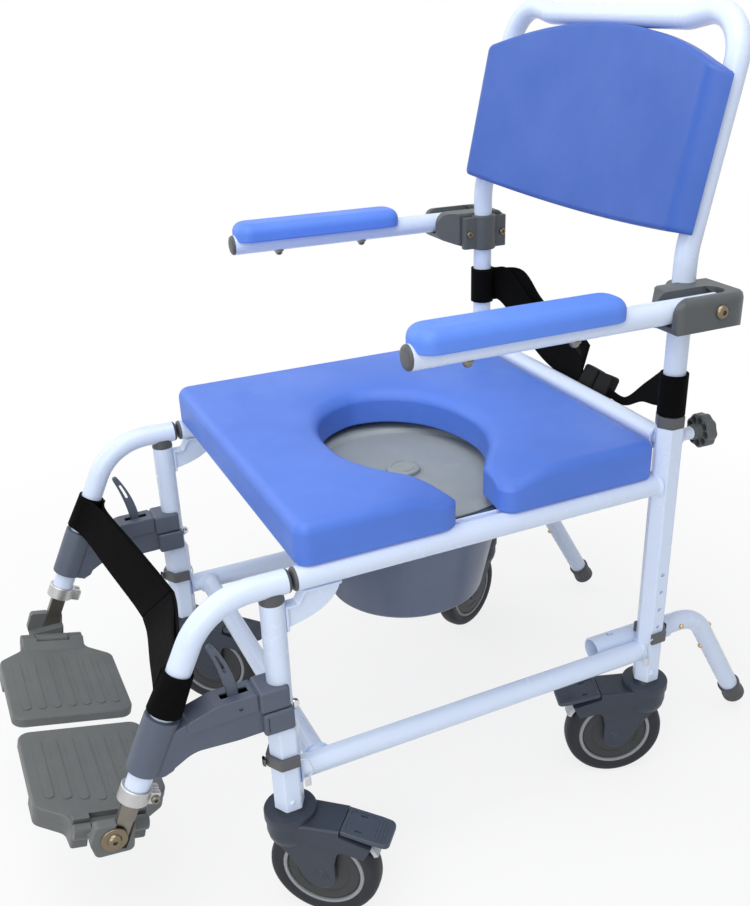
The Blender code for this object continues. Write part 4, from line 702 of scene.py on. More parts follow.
lid_side = rounded([(-0.1010, 0.2850, 0.007), (-0.1000, 0.2985, 0.006), (-0.0690, 0.3078, 0.02),
                    (-0.0270, 0.3086, 0.003), (-0.0270, 0.2875, 0.003)], 7)


def lever_slot():
    return block((leg_x - 0.0044, -0.0620, 0.2875), (leg_x + 0.0044, -0.0335, 0.3200))


def leg_room():
    return swept([(leg_x, 0, 0.24), (leg_x, 0, 0.33)], tube_r + 0.0003)


bracket_arm = carved(slab(arm_side, leg_x - 0.0135, leg_x + 0.0135, 0.0035, FROM_SIDE), lever_slot())
pin_hole = drill(0.0022, 0.003, (leg_x + 0.0150, -0.0452, 0.2965), (1, 0, 0), 20)
bracket_lid = carved(slab(lid_side, leg_x - 0.0150, leg_x + 0.0150, 0.0014, FROM_SIDE), lever_slot(), pin_hole)
clasp_top = carved(block((leg_x - 0.0182, -0.0262, 0.2832), (leg_x + 0.0182, 0.0060, 0.3090), 0.0036), leg_room())
clasp_slit = block((leg_x + 0.0182, -0.0200, 0.2610), (leg_x + 0.0230, -0.0190, 0.2790))
clasp_low = block((leg_x - 0.0197, -0.0245, 0.2556), (leg_x + 0.0197, 0.0088, 0.2826), 0.0036)
clasp_low = carved(clasp_low, leg_room(), clasp_slit)
fitted_pair(together(sleeve, root, bracket_arm, bracket_lid, clasp_top, clasp_low), "bracket_casting", bracket_grey,
            "hanger_{}", ["hanger_bracket_{}"])
latch_nut = lathed([(0, 0.0070), (0.0025, 0.0066), (0.0045, 0.0052), (0.0052, 0.0032), (0.0054, 0.0012),
                    (0.0066, 0.0010), (0.0066, -0.0004), (0, -0.0004)], (leg_x, tube_r, 0.2725), (0, 1, 0), 32)
fitted_pair(latch_nut, "latch_nut", chrome, "hanger_{}")

lever_pivot = Vector((leg_x, -0.048, 0.2982))
lever_h = 0.078


def lever_edge(t, side, wide):
    """A point beside the lever's curved middle line."""
    return lever_pivot.y - 0.25 * lever_h * t * t + side * wide, lever_pivot.z - 0.005 + lever_h * t


def lever_rim(side):
    """One edge of the lever, rounded at its tip."""
    rim = []
    for i in range(13):
        t = i / 12
        wide = 0.005 * (1 + 0.3 * math.sin(math.pi * t) - 0.3 * t)
        rim.append((*lever_edge(t, side, wide), 0.0032 if i == 12 else 0))
    return rim


lever_body = slab(rounded(lever_rim(-1)[::-1] + lever_rim(1)), leg_x - 0.004, leg_x + 0.004, 0.0015, FROM_SIDE)
finger_hole = [(*lever_edge(0.56 + 0.06 * i, -1, 0.0016), 0.0012 if i in (0, 5) else 0) for i in range(6)]
finger_hole += [(*lever_edge(0.86 - 0.06 * i, 1, 0.0016), 0.0012 if i in (0, 5) else 0) for i in range(6)]
lever_body = carved(lever_body, slab(rounded(finger_hole), leg_x - 0.01, leg_x + 0.01, 0, FROM_SIDE))
fitted_pair(lever_body, "lever_tongue", bracket_grey, "release_lever_{}", ["release_lever_{}"])

clamp_at = 0.2150
cast_metal = plated("cast_aluminium", "aluminium", (0.58, 0.58, 0.585), 0.36)
clamp_profile = [(0.0130, 0), (0.0153, 0), (0.0160, 0.0008), (0.0160, 0.0152), (0.0153, 0.0160), (0.0130, 0.0160)]
clamp_band = ring(clamp_profile, slope(0.206), downslope, 56)
ears = [tilted(block((left, 0.0115, -0.0070), (right, 0.0240, 0.0070), 0.0020), clamp_at)
        for left, right in ((0.0008, 0.0090), (-0.0090, -0.0008))]
fitted_pair(together(clamp_band, *ears), "clamp_casting", cast_metal, "hanger_{}", ["post_clamp_{}"])
screw_head = [(0, 0.0008), (0.0021, 0.0008), (0.0021, 0.0032), (0.0038, 0.0032), (0.0045, 0.0025), (0.0045, -0.0005),
              (0, -0.0005)]
dull_zinc = plated("dull_zinc", "chrome", (0.24, 0.22, 0.19), 0.32)
clamp_screw = tilted(lathed(screw_head, (0.0090, 0.0195, 0), (1, 0, 0), 28), clamp_at)
fitted_pair(clamp_screw, "clamp_screw", dull_zinc, "hanger_{}")

# Footplates: a plated flat bar slides in the hanger's tube and is bolted into the groove of a moulded pivot block,
# whose hinge barrel carries the ribbed grey plate. The plate flips up, and its toe edge is raised.
foot = slope(0.275)
pivot_y = -0.1840
pivot_z = 0.1820
hinge_x = 0.190
pivot_face = leg_x + 0.0068


def tipped(place, degrees):
    """A turn about the sideways line through a place, toward the rear."""
    about = Matrix.Translation(place)
    return about @ Matrix.Rotation(-math.radians(degrees), 4, "X") @ about.inverted()


toe_up = tipped((hinge_x, foot.y, foot.z), 13.7)
post_bar = tilted(block((-0.004, -0.009, -0.0560), (0.004, 0.009, 0.0560), 0.0012), 0.2175)
yellow_zinc = plated("yellow_zinc", "chrome", (0.22, 0.18, 0.125), 0.30)
fitted_pair(post_bar, "post_bar", dull_zinc, "footplate_post_{}", ["footplate_post_{}"])
plate_grey = moulded("footplate_nylon", "footplate_plastic", (0.126, 0.134, 0.133), 0.46)
pivot_side = rounded([(-0.2035, 0.1650, 0.007), (-0.1665, 0.1605, 0.006), (-0.1610, 0.1945, 0.004),
                      (-0.1700, 0.1975, 0.004), (-0.1990, 0.2030, 0.004), (-0.2072, 0.1830, 0.008)], 6)
post_groove = tilted(block((-0.0043, -0.0093, -0.0060), (0.0300, 0.0093, 0.0600)), 0.270)
inner_step = block((leg_x - 0.0300, -0.2500, 0.1805), (leg_x - 0.0043, -0.1000, 0.2500))
pivot_body = carved(slab(pivot_side, leg_x - 0.0172, pivot_face, 0.0020, FROM_SIDE), post_groove, inner_step)
web_from = Vector((hinge_x, foot.y - 0.0135, foot.z - 0.0056))
hinge_web = block(web_from, (leg_x - 0.0130, foot.y + 0.0135, foot.z + 0.0056), 0.0018)
barrel_rod = [(0, -0.020), (0.0072, -0.020), (0.0080, -0.0192), (0.0080, 0.0192), (0.0072, 0.020), (0, 0.020)]
hinge_barrel = lathed(barrel_rod, (hinge_x, foot.y, foot.z), (0, 1, 0), 40)
pivot_form = together(pivot_body, moved(together(hinge_web, hinge_barrel), toe_up))
fitted_pair(pivot_form, "pivot_block", plate_grey, "footplate_post_{}")
pivot_bolt = [(0, 0.0030), (0.0024, 0.0030), (0.0024, 0.0056), (0.0046, 0.0053), (0.0066, 0.0040), (0.0075, 0.0018),
              (0.0130, 0.0016), (0.0135, 0.0010), (0.0135, -0.0006), (0, -0.0026)]
pivot_bolt = lathed(pivot_bolt, (pivot_face, pivot_y, pivot_z), (1, 0, 0), 48)
fitted_pair(pivot_bolt, "pivot_bolt", yellow_zinc, "footplate_post_{}")

plate_y = foot.y
plate_top = foot.z + 0.0015


def plate_shape(half):
    """An outline of (across, from the middle, radius) corners, alike in front and behind."""
    front = [(x, plate_y - off, radius) for x, off, radius in half]
    return rounded(front + [(x, plate_y + off, radius) for x, off, radius in reversed(half)], 7)


plate_outline = plate_shape([(0.0120, 0.0685, 0.014), (0.1430, 0.0685, 0.014), (0.1660, 0.0400, 0.014),
                             (0.1900, 0.0378, 0.003), (0.1900, 0.0204, 0), (0.1815, 0.0204, 0.002)])
plate_slab = slab(plate_outline, plate_top - 0.0120, plate_top, 0.0022)
skirt_outline = plate_shape([(0.1080, 0.0678, 0.002), (0.1430, 0.0678, 0.014), (0.1655, 0.0396, 0.014),
                             (0.1880, 0.0378, 0.003), (0.1880, 0.0215, 0), (0.1720, 0.0215, 0.002)])
skirt = slab(skirt_outline, plate_top - 0.0240, plate_top - 0.0100, 0.0016)
shoulder = slab(rounded([(0.1500, plate_top - 0.0030, 0), (0.1820, plate_top - 0.0030, 0),
                         (0.1820, plate_top + 0.0085, 0.0020), (0.1765, plate_top + 0.0082, 0.005),
                         (0.1620, plate_top + 0.0006, 0.012)], 5),
                -plate_y - 0.0376, -plate_y + 0.0376, 0.0012, FROM_REAR)
hinge_gap = block((0.1735, plate_y - 0.0207, plate_top - 0.0010), (0.1950, plate_y + 0.0207, plate_top + 0.0200))
shoulder = carved(shoulder, hinge_gap)
knuckle_rod = [(0, 0), (0.0072, 0), (0.0080, 0.0008), (0.0080, 0.0164), (0.0072, 0.0172), (0, 0.0172)]
knuckles = [lathed(knuckle_rod, (hinge_x, plate_y + side * 0.0204, foot.z), (0, side, 0), 36) for side in (1, -1)]
ribs = []
for i in range(7):
    rib_y = plate_y - 0.0510 + 0.017 * i
    rib_end = 0.134 + 0.014 * (1 - abs(i - 3) / 3)
    rib_plan = oblong((0.0300, rib_y - 0.0050), (rib_end, rib_y + 0.0050), 0.0048, 6)
    ribs.append(slab(rib_plan, plate_top - 0.001, plate_top + 0.0011, 0.0006, None, 2))
plate_form = moved(together(plate_slab, skirt, shoulder, *knuckles, *ribs), toe_up)
fitted_pair(plate_form, "plate_moulding", plate_grey, "footplate_{}", ["footplate_{}"])

# Calf strap: a band of black ribbed elastic sewn into a loop round each hanger. The two halves meet behind the
# sitter's calves, where the band folds.
strap_w = 0.044
strap_thick = 0.0022
strap_loop_r = tube_r + 0.0030


def webbing(name, pitch, colour):
    """Woven band: ribs along its length and fine picks across, on the band's own UV in metres."""
    material, shader, place = finish(name, "black_webbing", {"Specular IOR Level": 0.05})
    across = place.node("SeparateXYZ", {}, {0: place.node("TexCoord", {}, {}, "UV")}, "X")
    along = place.node("SeparateXYZ", {}, {0: place.node("TexCoord", {}, {}, "UV")}, "Y")
    rib = place.math("SINE", (2 * math.pi / pitch) * across)
    pick = place.math("SINE", (2 * math.pi / (0.45 * pitch)) * along)
    fuzz = place.node("TexNoise", {}, {"Vector": place, "Scale": 160.0, "Detail": 3.0})
    height = 0.5 + 0.3 * rib + 0.12 * (rib * pick)
    raised = (0.75 * height + 0.5 * fuzz).band(0.25, 1.0)
    raised.tint([0.6 * c for c in colour], [1.5 * c for c in colour]).into(shader["Base Color"])
    (0.85 - 0.15 * raised).into(shader["Roughness"])
    place.node("Bump", {}, {"Strength": 0.55, "Distance": 0.0005, "Height": height}).into(shader["Normal"])
    return material


def smooth_line(points, steps=8):
    """A smooth path through points."""
    points = [Vector(p) for p in points]
    ends = [2 * points[0] - points[1]] + points + [2 * points[-1] - points[-2]]
    path = []
    for a, b, c, d in zip(ends, ends[1:], ends[2:], ends[3:]):
        for i in range(steps):
            t = i / steps
            rise = t * t * (a - 2.5 * b + 2 * c - 0.5 * d) + t * t * t * (0.5 * (d - a) + 1.5 * (b - c))
            path.append(b + 0.5 * t * (c - a) + rise)
    return path + [points[-1]]


def length_of(line):
    return sum((b - a).length for a, b in zip(line, line[1:]))


def band(path, ways, widths, columns=10):
    """A flat band along a path: the way across it and its width at each point, with a UV map in metres."""
    form = bmesh.new()
    rows = len(path) - 1
    bmesh.ops.create_grid(form, x_segments=columns, y_segments=rows, size=1)
    uv = form.loops.layers.uv.new("band")
    lengths = [0]
    for a, b in zip(path, path[1:]):
        lengths.append(lengths[-1] + (b - a).length)
    for face in form.faces:
        for loop in face.loops:
            row = round((loop.vert.co.y + 1) / 2 * rows)
            loop[uv].uv = (loop.vert.co.x * widths[row] / 2, lengths[row])
    for vert in form.verts:
        row = round((vert.co.y + 1) / 2 * rows)
        vert.co = path[row] + ways[row] * (vert.co.x * widths[row] / 2)
    return form


def loop_band(centre, way, start, radius, low, high, flare=0.0):
    """A band wrapped once round a tube, sewn shut behind."""
    side = way.cross(start).normalized()
    angles = [2 * math.pi * i / 48 for i in range(49)]
    outward = [math.cos(angle) * start + math.sin(angle) * side for angle in angles]
    path = [centre + radius * out + way * (low + high) / 2 for out in outward]
    return band(path, [(way + flare * out).normalized() for out in outward], [high - low] * 49, 12)


def woven(form, name, material, body, nodes, thickness):
    """A band as a piece, with its thickness."""
    piece = fitted(form, name, material, body, nodes, 60)
    piece.modifiers.remove(piece.modifiers["even_shading"])
    thick = piece.modifiers.new("thickness", "SOLIDIFY")
    thick.thickness = thickness
    thick.offset = 0
    thick.use_even_offset = True
    return piece


elastic = webbing("ribbed_elastic", 0.0022, (0.0028, 0.0028, 0.0032))
for side_name, side in (("left", 1), ("right", -1)):
    turn = Matrix.Diagonal((side, 1, 1))
    wrap = loop_band(slope(0), downslope, behind, strap_loop_r, 0.076, 0.120, 0.055)
    bmesh.ops.transform(wrap, matrix=turn.to_4x4(), verts=wrap.verts)
    loop = woven(wrap, f"strap_loop_{side_name}", elastic, f"hanger_{side_name}", [f"calf_strap_{side_name}"],
                 strap_thick)
    fold = Vector((0.0006, -0.0710, 0.2980))
    turned = Vector((0, -0.83, -0.56))
    for run_name, near, far in (("run", -1, -0.0014), ("return", 1, 0.0014)):
        start = slope(0.098) + near * 0.0160 * behind + Vector((-0.0030, 0, 0))
        leave = slope(0.098) + near * 0.0040 * behind + Vector((-0.0330, 0.0040, -0.0045))
        end = fold + Vector((0, far, 0))
        knee = leave.lerp(end, 0.80) + Vector((0, 0.002, -0.003))
        line = [turn @ p for p in smooth_line([start, leave, leave.lerp(knee, 0.5), knee, end])]
        ways = [downslope.lerp(turned, i / (len(line) - 1)).normalized() for i in range(len(line))]
        strip = band(line, ways, [strap_w] * len(line))
        run = woven(strip, f"strap_{run_name}_{side_name}", elastic, f"hanger_{side_name}", [], strap_thick)
        length_of(line)

# Pail and lid: a blow moulded grey pail whose rim slides on the strips, and a lighter dished lid with a round knob,
# lying loose on the rim close under the seat.
pail_x = 0.0387
pail_y = 0.2300
rim_z = 0.4213
pail_low = rim_z - 0.1535
pail_profile = [(0, pail_low + 0.0015), (0.060, pail_low + 0.0015), (0.064, pail_low), (0.0885, pail_low),
                (0.0925, pail_low + 0.0012), (0.0952, pail_low + 0.0035), (0.0962, pail_low + 0.006),
                (0.1182, rim_z - 0.0460), (0.1194, rim_z - 0.0430), (0.1268, rim_z - 0.0085),
                (0.1284, rim_z - 0.0046), (0.1305, rim_z - 0.0036), (0.1462, rim_z - 0.0036),
                (0.1473, rim_z - 0.0026), (0.1473, rim_z - 0.0010), (0.1462, rim_z), (0.1265, rim_z),
                (0.1243, rim_z - 0.0020), (0.0932, pail_low + 0.009), (0.0885, pail_low + 0.0035),
                (0, pail_low + 0.0035)]
pail_grey = moulded("pail_polythene", "pail_plastic", (0.122, 0.150, 0.226), 0.34, 500.0)
fitted(lathed(pail_profile, (pail_x, pail_y, 0), steps=96), "pail_moulding", pail_grey, "pail", ["pail"])
lid_profile = [(0, 0.4244), (0.0125, 0.4245), (0.0131, 0.4237), (0.0143, 0.4237), (0.0149, 0.4246), (0.0185, 0.4243),
               (0.0200, 0.4232), (0.0204, 0.4216), (0.0202, 0.4190), (0.0219, 0.4181), (0.0270, 0.4178),
               (0.1130, 0.4196), (0.1165, 0.4206), (0.1195, 0.4236), (0.1222, 0.4246), (0.1425, 0.4246),
               (0.1435, 0.4240), (0.1435, 0.4224), (0.1425, 0.4217), (0.1215, 0.4217), (0.1160, 0.4176), (0, 0.4148)]
lid_grey = moulded("lid_polythene", "lid_plastic", (0.324, 0.355, 0.352), 0.36, 500.0)
fitted(lathed(lid_profile, (pail_x, pail_y, 0), steps=96), "lid_moulding", lid_grey, "pail_lid", ["pail_lid"])

# Seat: one block of blue polyurethane foam with its own skin, moulded with a drop shaped opening that runs out to
# the left side between two drooping lobes, and pushed onto the rails.
seat_base = 0.4330
seat_h = 0.046
seat_half = 0.223
seat_front = 0.028
seat_back = 0.464
seat_corner = 0.016
seat_roll = 0.0130
channel_front = 0.212
channel_back = 0.262
front_lobe_r = 0.026
rear_lobe_r = 0.018
crown_h = 0.0016
edge_slump = 0.0085
lobe_x = 0.2150
lobe_reach = 0.065


def foam_skin(name, colour):
    """Moulded foam's skin: a fine leather grain, slight mottling and shinier worn places."""
    material, shader, place = finish(name, "blue_polyurethane", {"Specular IOR Level": 0.42})
    cell = place.node("TexVoronoi", {"feature": "DISTANCE_TO_EDGE"}, {"Vector": place, "Scale": 620.0})
    crease = cell.band(0.0, 0.12)
    cloud = place.node("TexNoise", {}, {"Vector": place, "Scale": 11.0, "Detail": 5.0, "Roughness": 0.6})
    worn = cloud.band(0.36, 0.66)
    shade = 0.72 * worn + 0.28 * crease
    shade.tint([0.94 * c for c in colour], [1.05 * c for c in colour]).into(shader["Base Color"])
    (0.52 - 0.10 * worn - 0.04 * crease).into(shader["Roughness"])
    place.node("Bump", {}, {"Strength": 0.22, "Distance": 0.0004, "Height": crease}).into(shader["Normal"])
    return material


def arc(centre, radius, start, stop, steps):
    angles = [math.radians(start + (stop - start) * i / steps) for i in range(steps + 1)]
    return [Vector((centre[0] + radius * math.cos(a), centre[1] + radius * math.sin(a))) for a in angles]


def roll_rim(form, rim, radius, segments):
    """Rounds the rim of a foam block."""
    bmesh.ops.bevel(form, geom=rim, offset=radius, offset_type="OFFSET", segments=segments, profile=0.5,
                    affect="EDGES", material=-1, clamp_overlap=False)


blue_foam = foam_skin("blue_foam", (0.086, 0.205, 0.72))
opening_edge = [(0.193, 0.2060), (0.176, 0.1990), (0.157, 0.1885), (0.137, 0.1725), (0.111, 0.1550), (0.080, 0.1425),
                (0.045, 0.1385), (0.010, 0.140), (-0.022, 0.1475), (-0.050, 0.162), (-0.072, 0.1845),
                (-0.0855, 0.2125), (-0.0868, 0.232), (-0.081, 0.257), (-0.066, 0.281), (-0.040, 0.303), (0, 0.3185),
                (0.045, 0.3235), (0.085, 0.3165), (0.120, 0.300), (0.146, 0.281), (0.168, 0.266)]
opening_edge = [p.xy for p in smooth_line([(x, y, 0) for x, y in opening_edge], 6)]
opening_edge = arc((seat_half - front_lobe_r, channel_front - front_lobe_r), front_lobe_r, 0, 70, 10) + opening_edge
opening_edge += arc((seat_half - rear_lobe_r, channel_back + rear_lobe_r), rear_lobe_r, 270, 360, 10)
corner_x = seat_half - seat_corner
seat_outline = []
for x, start in ((-corner_x, 180), (corner_x, 270)):
    seat_outline += arc((x, seat_front + seat_corner), seat_corner, start, start + 90, 10)
seat_outline += opening_edge
for x, start in ((corner_x, 0), (-corner_x, 90)):
    seat_outline += arc((x, seat_back - seat_corner), seat_corner, start, start + 90, 10)
seat = bmesh.new()
seat_face = seat.faces.new([seat.verts.new((p.x, p.y, seat_base)) for p in seat_outline])
grown = bmesh.ops.extrude_face_region(seat, geom=[seat_face])["geom"]
bmesh.ops.translate(seat, vec=(0, 0, seat_h), verts=[g for g in grown if isinstance(g, bmesh.types.BMVert)])
bmesh.ops.recalc_face_normals(seat, faces=seat.faces)
roll_rim(seat, [e for e in seat.edges if min(v.co.z for v in e.verts) > seat_base + 0.045], seat_roll, 9)
roll_rim(seat, [e for e in seat.edges if max(v.co.z for v in e.verts) < seat_base + 0.0001], 0.003, 3)
for cut in range(-14, 15):
    for spot, normal in (((0.015 * cut, 0, 0), (1, 0, 0)), ((0, 0.246 + 0.015 * cut, 0), (0, 1, 0))):
        parts = seat.verts[:] + seat.edges[:] + seat.faces[:]
        bmesh.ops.bisect_plane(seat, geom=parts, dist=1e-5, plane_co=spot, plane_no=normal)
for vert in seat.verts:
    inward = min(seat_half - abs(vert.co.x), vert.co.y - seat_front, seat_back - vert.co.y)
    to_edge = min((vert.co.xy - p).length for p in opening_edge)
    raised = min(1, max(0, vert.co.z - seat_base - 0.018) / 0.028)
    crown = crown_h * min(1, max(0, inward - seat_roll) / 0.05)
    vert.co.z += raised * (crown - edge_slump * max(0, 1 - to_edge / 0.042) ** 2)
    for lobe_y, droop in ((0.2060, 0.0115), (0.2690, 0.0085)):
        to_lobe = (vert.co.xy - Vector((lobe_x, lobe_y))).length
        vert.co.z -= raised * droop * max(0, 1 - to_lobe / lobe_reach) ** 1.5
seat_piece = fitted(seat, "seat_foam", blue_foam, "seat", ["seat_pad"], 50)

# Back: one tube bent into two canes and a push bar that drops into the rear legs, and a bowed foam pad moulded with
# side flanges that lap round the canes.
bend_z = 0.690
lean_back = tipped((0, wheelbase, bend_z), 12.3)
half_back = [Vector((leg_x, wheelbase, 0.400)), Vector((leg_x, wheelbase, bend_z)),
             lean_back @ Vector((leg_x, wheelbase, bend_z + 0.2465)),
             lean_back @ Vector((0.130, wheelbase, bend_z + 0.2295))]
other_back = [Vector((-p.x, p.y, p.z)) for p in reversed(half_back)]
canes = swept(bent(half_back + other_back, [0.127, 0.0480, 0.0508, 0.0508, 0.0480, 0.127], 12), tube_r)
fitted(canes, "back_canes", coat, "back", ["back_frame"])

pad_outer = 0.234
pad_inner = leg_x + tube_r + 0.0003
pad_face = tube_r + 0.0225
pad_rear = tube_r + 0.0003
pad_roll = 0.0065
pad_ridge = 0.217
flange_end = 0.0160
pad_front_line = []
for i in range(27):
    x = 0.206 * i / 26
    pad_front_line.append((x, 0.018 * (1 - (x / pad_ridge) ** 2) - pad_face, 0, 1))
ridge_from = Vector(pad_front_line[-1][:2])
ridge_top = Vector((0.2180, -pad_face - 0.0004))
ridge_to = Vector((pad_outer, -flange_end))
for i in range(1, 15):
    t = i / 14
    spot = curve(ridge_from, ridge_top, ridge_to, t)
    run = ((1 - t) * (ridge_top - ridge_from) + t * (ridge_to - ridge_top)).normalized()
    pad_front_line.append((spot.x, spot.y, -run.y * (1 - 0.8 * t), run.x * (1 - 0.8 * t)))
pad_rear_line = []
for i in range(37):
    x = pad_inner * i / 36
    pad_rear_line.append((x, 0.023 * max(0, 1 - (x / (leg_x - tube_r)) ** 2) - pad_rear, 0, -0.3))
pad_rear_line += [(pad_inner, (pad_rear - flange_end) * i / 6 - pad_rear, 0.1, 0) for i in range(1, 7)]
quarter = [math.pi / 2 * i / 8 for i in range(8)]
pad_rows = [(pad_roll * (1 - math.cos(a)), pad_roll * (1 - math.sin(a)), 0) for a in quarter]
pad_rows += [(pad_roll * (1 - 2 * i / 20), 0, i / 20) for i in range(21)]
pad_rows += [(-drop, back, 1) for drop, back, share in pad_rows[7::-1]]
back_form = bmesh.new()
for section_line in (pad_front_line, pad_rear_line):
    last = len(section_line) - 1
    sheet_verts = bmesh.ops.create_grid(back_form, x_segments=2 * last, y_segments=len(pad_rows) - 1, size=1)["verts"]
    for vert in sheet_verts:
        column = round(vert.co.x * last)
        rise, back, share = pad_rows[round((vert.co.y + 1) / 2 * (len(pad_rows) - 1))]
        x, y, turn_x, turn_y = section_line[abs(column)]
        arch = 1 - min(1, x / pad_outer) ** 2
        low = bend_z + 0.0190 - 0.009 * arch
        high = bend_z + 0.1765 + 0.0430 * arch
        vert.co.x = math.copysign(x + back * turn_x, column)
        vert.co.y = wheelbase + y + back * turn_y
        vert.co.z = low + (high - low) * share + rise
bmesh.ops.bridge_loops(back_form, edges=[e for e in back_form.edges if e.is_boundary])
bmesh.ops.transform(back_form, matrix=lean_back, verts=back_form.verts)
bmesh.ops.recalc_face_normals(back_form, faces=back_form.faces)
# The back pad's blue is a darker copy of the seat's blue: painted shade standing in for the weaker light on its
# upright face.
back_foam_painted_shade = foam_skin("back_foam_painted_shade", (0.038, 0.115, 0.46))
back_piece = fitted(back_form, "back_foam_pad", back_foam_painted_shade, "back", ["back_pad"], 50)
rolled = back_piece.modifiers.new("rolled_rim", "BEVEL")
rolled.width = 0.0016
rolled.segments = 3
rolled.limit_method = "ANGLE"
rolled.angle_limit = math.radians(50)

# Arms: a moulded grey bracket clamped on each cane, with an open pocket in which the arm tube flips up on a plated
# bolt, and a foam pad pressed over the front of the tube.
arm_x = 0.258
arm_z = 0.643
bolt_y = 0.478
arm_front = 0.1335
mount_low = 0.6038
mount_high = 0.6598
pocket = tube_r + 0.0012
mount_out = arm_x + pocket + 0.0115
mount_side = rounded([(wheelbase - 0.060, mount_high, 0.016), (wheelbase - 0.060, mount_low + 0.020, 0.010),
                      (wheelbase - 0.020, mount_low + 0.006, 0.018), (wheelbase + 0.004, mount_low + 0.005, 0.018),
                      (wheelbase + 0.040, mount_low + 0.019, 0.012), (wheelbase + 0.040, mount_high - 0.010, 0.010),
                      (wheelbase + 0.028, mount_high, 0.008)], 7)


def arm_room():
    """Where the arm's tube lies, turns and stands up."""
    bed = block((arm_x - pocket, wheelbase - 0.070, arm_z - tube_r - 0.0003),
                (arm_x + pocket, bolt_y, mount_high + 0.01))
    roll = drill(0.0188, pocket, (arm_x, bolt_y, arm_z), (1, 0, 0), 56)
    lift = slab(rounded([(arm_x - pocket, bolt_y - 0.001, 0), (arm_x + pocket, bolt_y - 0.001, 0),
                         (arm_x + pocket, bolt_y + 0.0188, 0.0125), (arm_x - pocket, bolt_y + 0.0188, 0.0125)], 7),
                arm_z, mount_high + 0.01)
    return bed, roll, lift


cane_room = swept([(leg_x, wheelbase, mount_low - 0.02), (leg_x, wheelbase, mount_high + 0.02)], tube_r + 0.0003)
mount_plan = rounded([(leg_x - 0.0080, wheelbase - 0.060, 0.0098), (mount_out, wheelbase - 0.060, 0.0098),
                      (mount_out, wheelbase + 0.041, 0.030), (leg_x - 0.0080, wheelbase + 0.037, 0.020)], 10)
mount_body = carved(slab(mount_side, leg_x + 0.0010, mount_out, 0.0035, FROM_SIDE),
                    slab(mount_plan, mount_low - 0.01, mount_high + 0.0002, 0.0090), how="INTERSECT")
slim = slab([(leg_x - 0.03, wheelbase - 0.07), (leg_x - 0.03, wheelbase - 0.036), (leg_x, wheelbase - 0.036),
             (arm_x - pocket - 0.005, wheelbase - 0.0615), (arm_x - pocket - 0.005, wheelbase - 0.07)],
            mount_low - 0.02, mount_high + 0.02)
under_side = [(leg_x + 0.022, mount_low - 0.020), (mount_out + 0.020, mount_low - 0.020),
              (mount_out + 0.020, mount_low + 0.0300), (leg_x + 0.022, mount_low + 0.0020)]
undercut = slab(under_side, -wheelbase - 0.060, -wheelbase + 0.080, 0, FROM_REAR)
mount_body = carved(mount_body, slim, undercut, *arm_room(), cane_room.copy())
grip_outline = rounded([(leg_x - 0.0090, wheelbase - 0.0340, 0.004), (leg_x + 0.0002, wheelbase - 0.0340, 0.001),
                        (leg_x + 0.0002, wheelbase + 0.0340, 0.001), (leg_x - 0.0090, wheelbase + 0.0340, 0.004)], 5)
grip = carved(slab(grip_outline, mount_low + 0.0075, mount_high - 0.005, 0.0025), cane_room.copy())
grip_barrel = [(0, mount_low + 0.0060), (0.0172, mount_low + 0.0060), (0.0185, mount_low + 0.0075),
               (0.0185, mount_high - 0.0045), (0.0172, mount_high - 0.0030), (0, mount_high - 0.0030)]
outer_half = block((leg_x + 0.0002, wheelbase - 0.03, mount_low - 0.01),
                   (leg_x + 0.03, wheelbase + 0.03, mount_high + 0.01))
barrel = carved(lathed(grip_barrel, (leg_x, wheelbase, 0), steps=56), outer_half, cane_room)
arm_grey = moulded("arm_bracket_nylon", "grey_plastic", (0.087, 0.097, 0.102), 0.44)
fitted_pair(together(mount_body, grip, barrel), "arm_mount", arm_grey, "back", ["arm_bracket_{}"])
grip_screws = [lathed(screw_head, (leg_x - 0.0090, wheelbase + side * 0.0265, arm_z - 0.011), (-1, 0, 0), 28)
               for side in (1, -1)]
fitted_pair(together(*grip_screws), "mount_screws", yellow_zinc, "back")
bolt_head = [(0, 0.0016), (0.0026, 0.0016), (0.0026, 0.0044), (0.0048, 0.0040), (0.0066, 0.0026), (0.0075, 0.0008),
             (0.0075, -0.0002), (0.0040, -0.0002), (0.0040, -0.0360), (0, -0.0360)]
arm_bolt = lathed(bolt_head, (mount_out + 0.0003, bolt_y, arm_z), (1, 0, 0), 40)
fitted_pair(arm_bolt, "arm_bolt_head", yellow_zinc, "back", ["arm_bolt_{}"])

arm_tube = swept([(arm_x, arm_front, arm_z), (arm_x, bolt_y + 0.0125, arm_z)], tube_r)
bolt_way = swept([(arm_x - 0.02, bolt_y, arm_z), (arm_x + 0.02, bolt_y, arm_z)], 0.0043)
fitted_pair(carved(arm_tube, bolt_way), "arm_rod", coat, "arm_{}", ["arm_tube_{}"])
fitted_pair(lathed(end_cap, (arm_x, arm_front, arm_z), (0, -1, 0)), "arm_cap", cap_grey, "arm_{}")
dome_nut = [(0, 0.0068), (0.0024, 0.0064), (0.0042, 0.0050), (0.0048, 0.0032), (0.0050, 0.0014), (0.0066, 0.0012),
            (0.0066, -0.0010), (0, -0.0010)]
nuts = [lathed(dome_nut, (arm_x, y, arm_z - tube_r), (0, 0, -1), 28) for y in (0.1950, 0.3150)]
fitted_pair(together(*nuts), "arm_pad_nuts", dull_zinc, "arm_{}")
pad_half = 0.024
pad_front = arm_front + 0.002
pad_back = pad_front + 0.2325
arm_outline = oblong((arm_x - pad_half, pad_front), (arm_x + pad_half, pad_back), 0.0200, 10)
arm_foam = slab(arm_outline, arm_z + 0.005, arm_z + 0.0275, 0)
roll_rim(arm_foam, [e for e in arm_foam.edges if min(v.co.z for v in e.verts) > arm_z + 0.027], 0.0125, 7)
roll_rim(arm_foam, [e for e in arm_foam.edges if max(v.co.z for v in e.verts) < arm_z + 0.0051], 0.0025, 3)
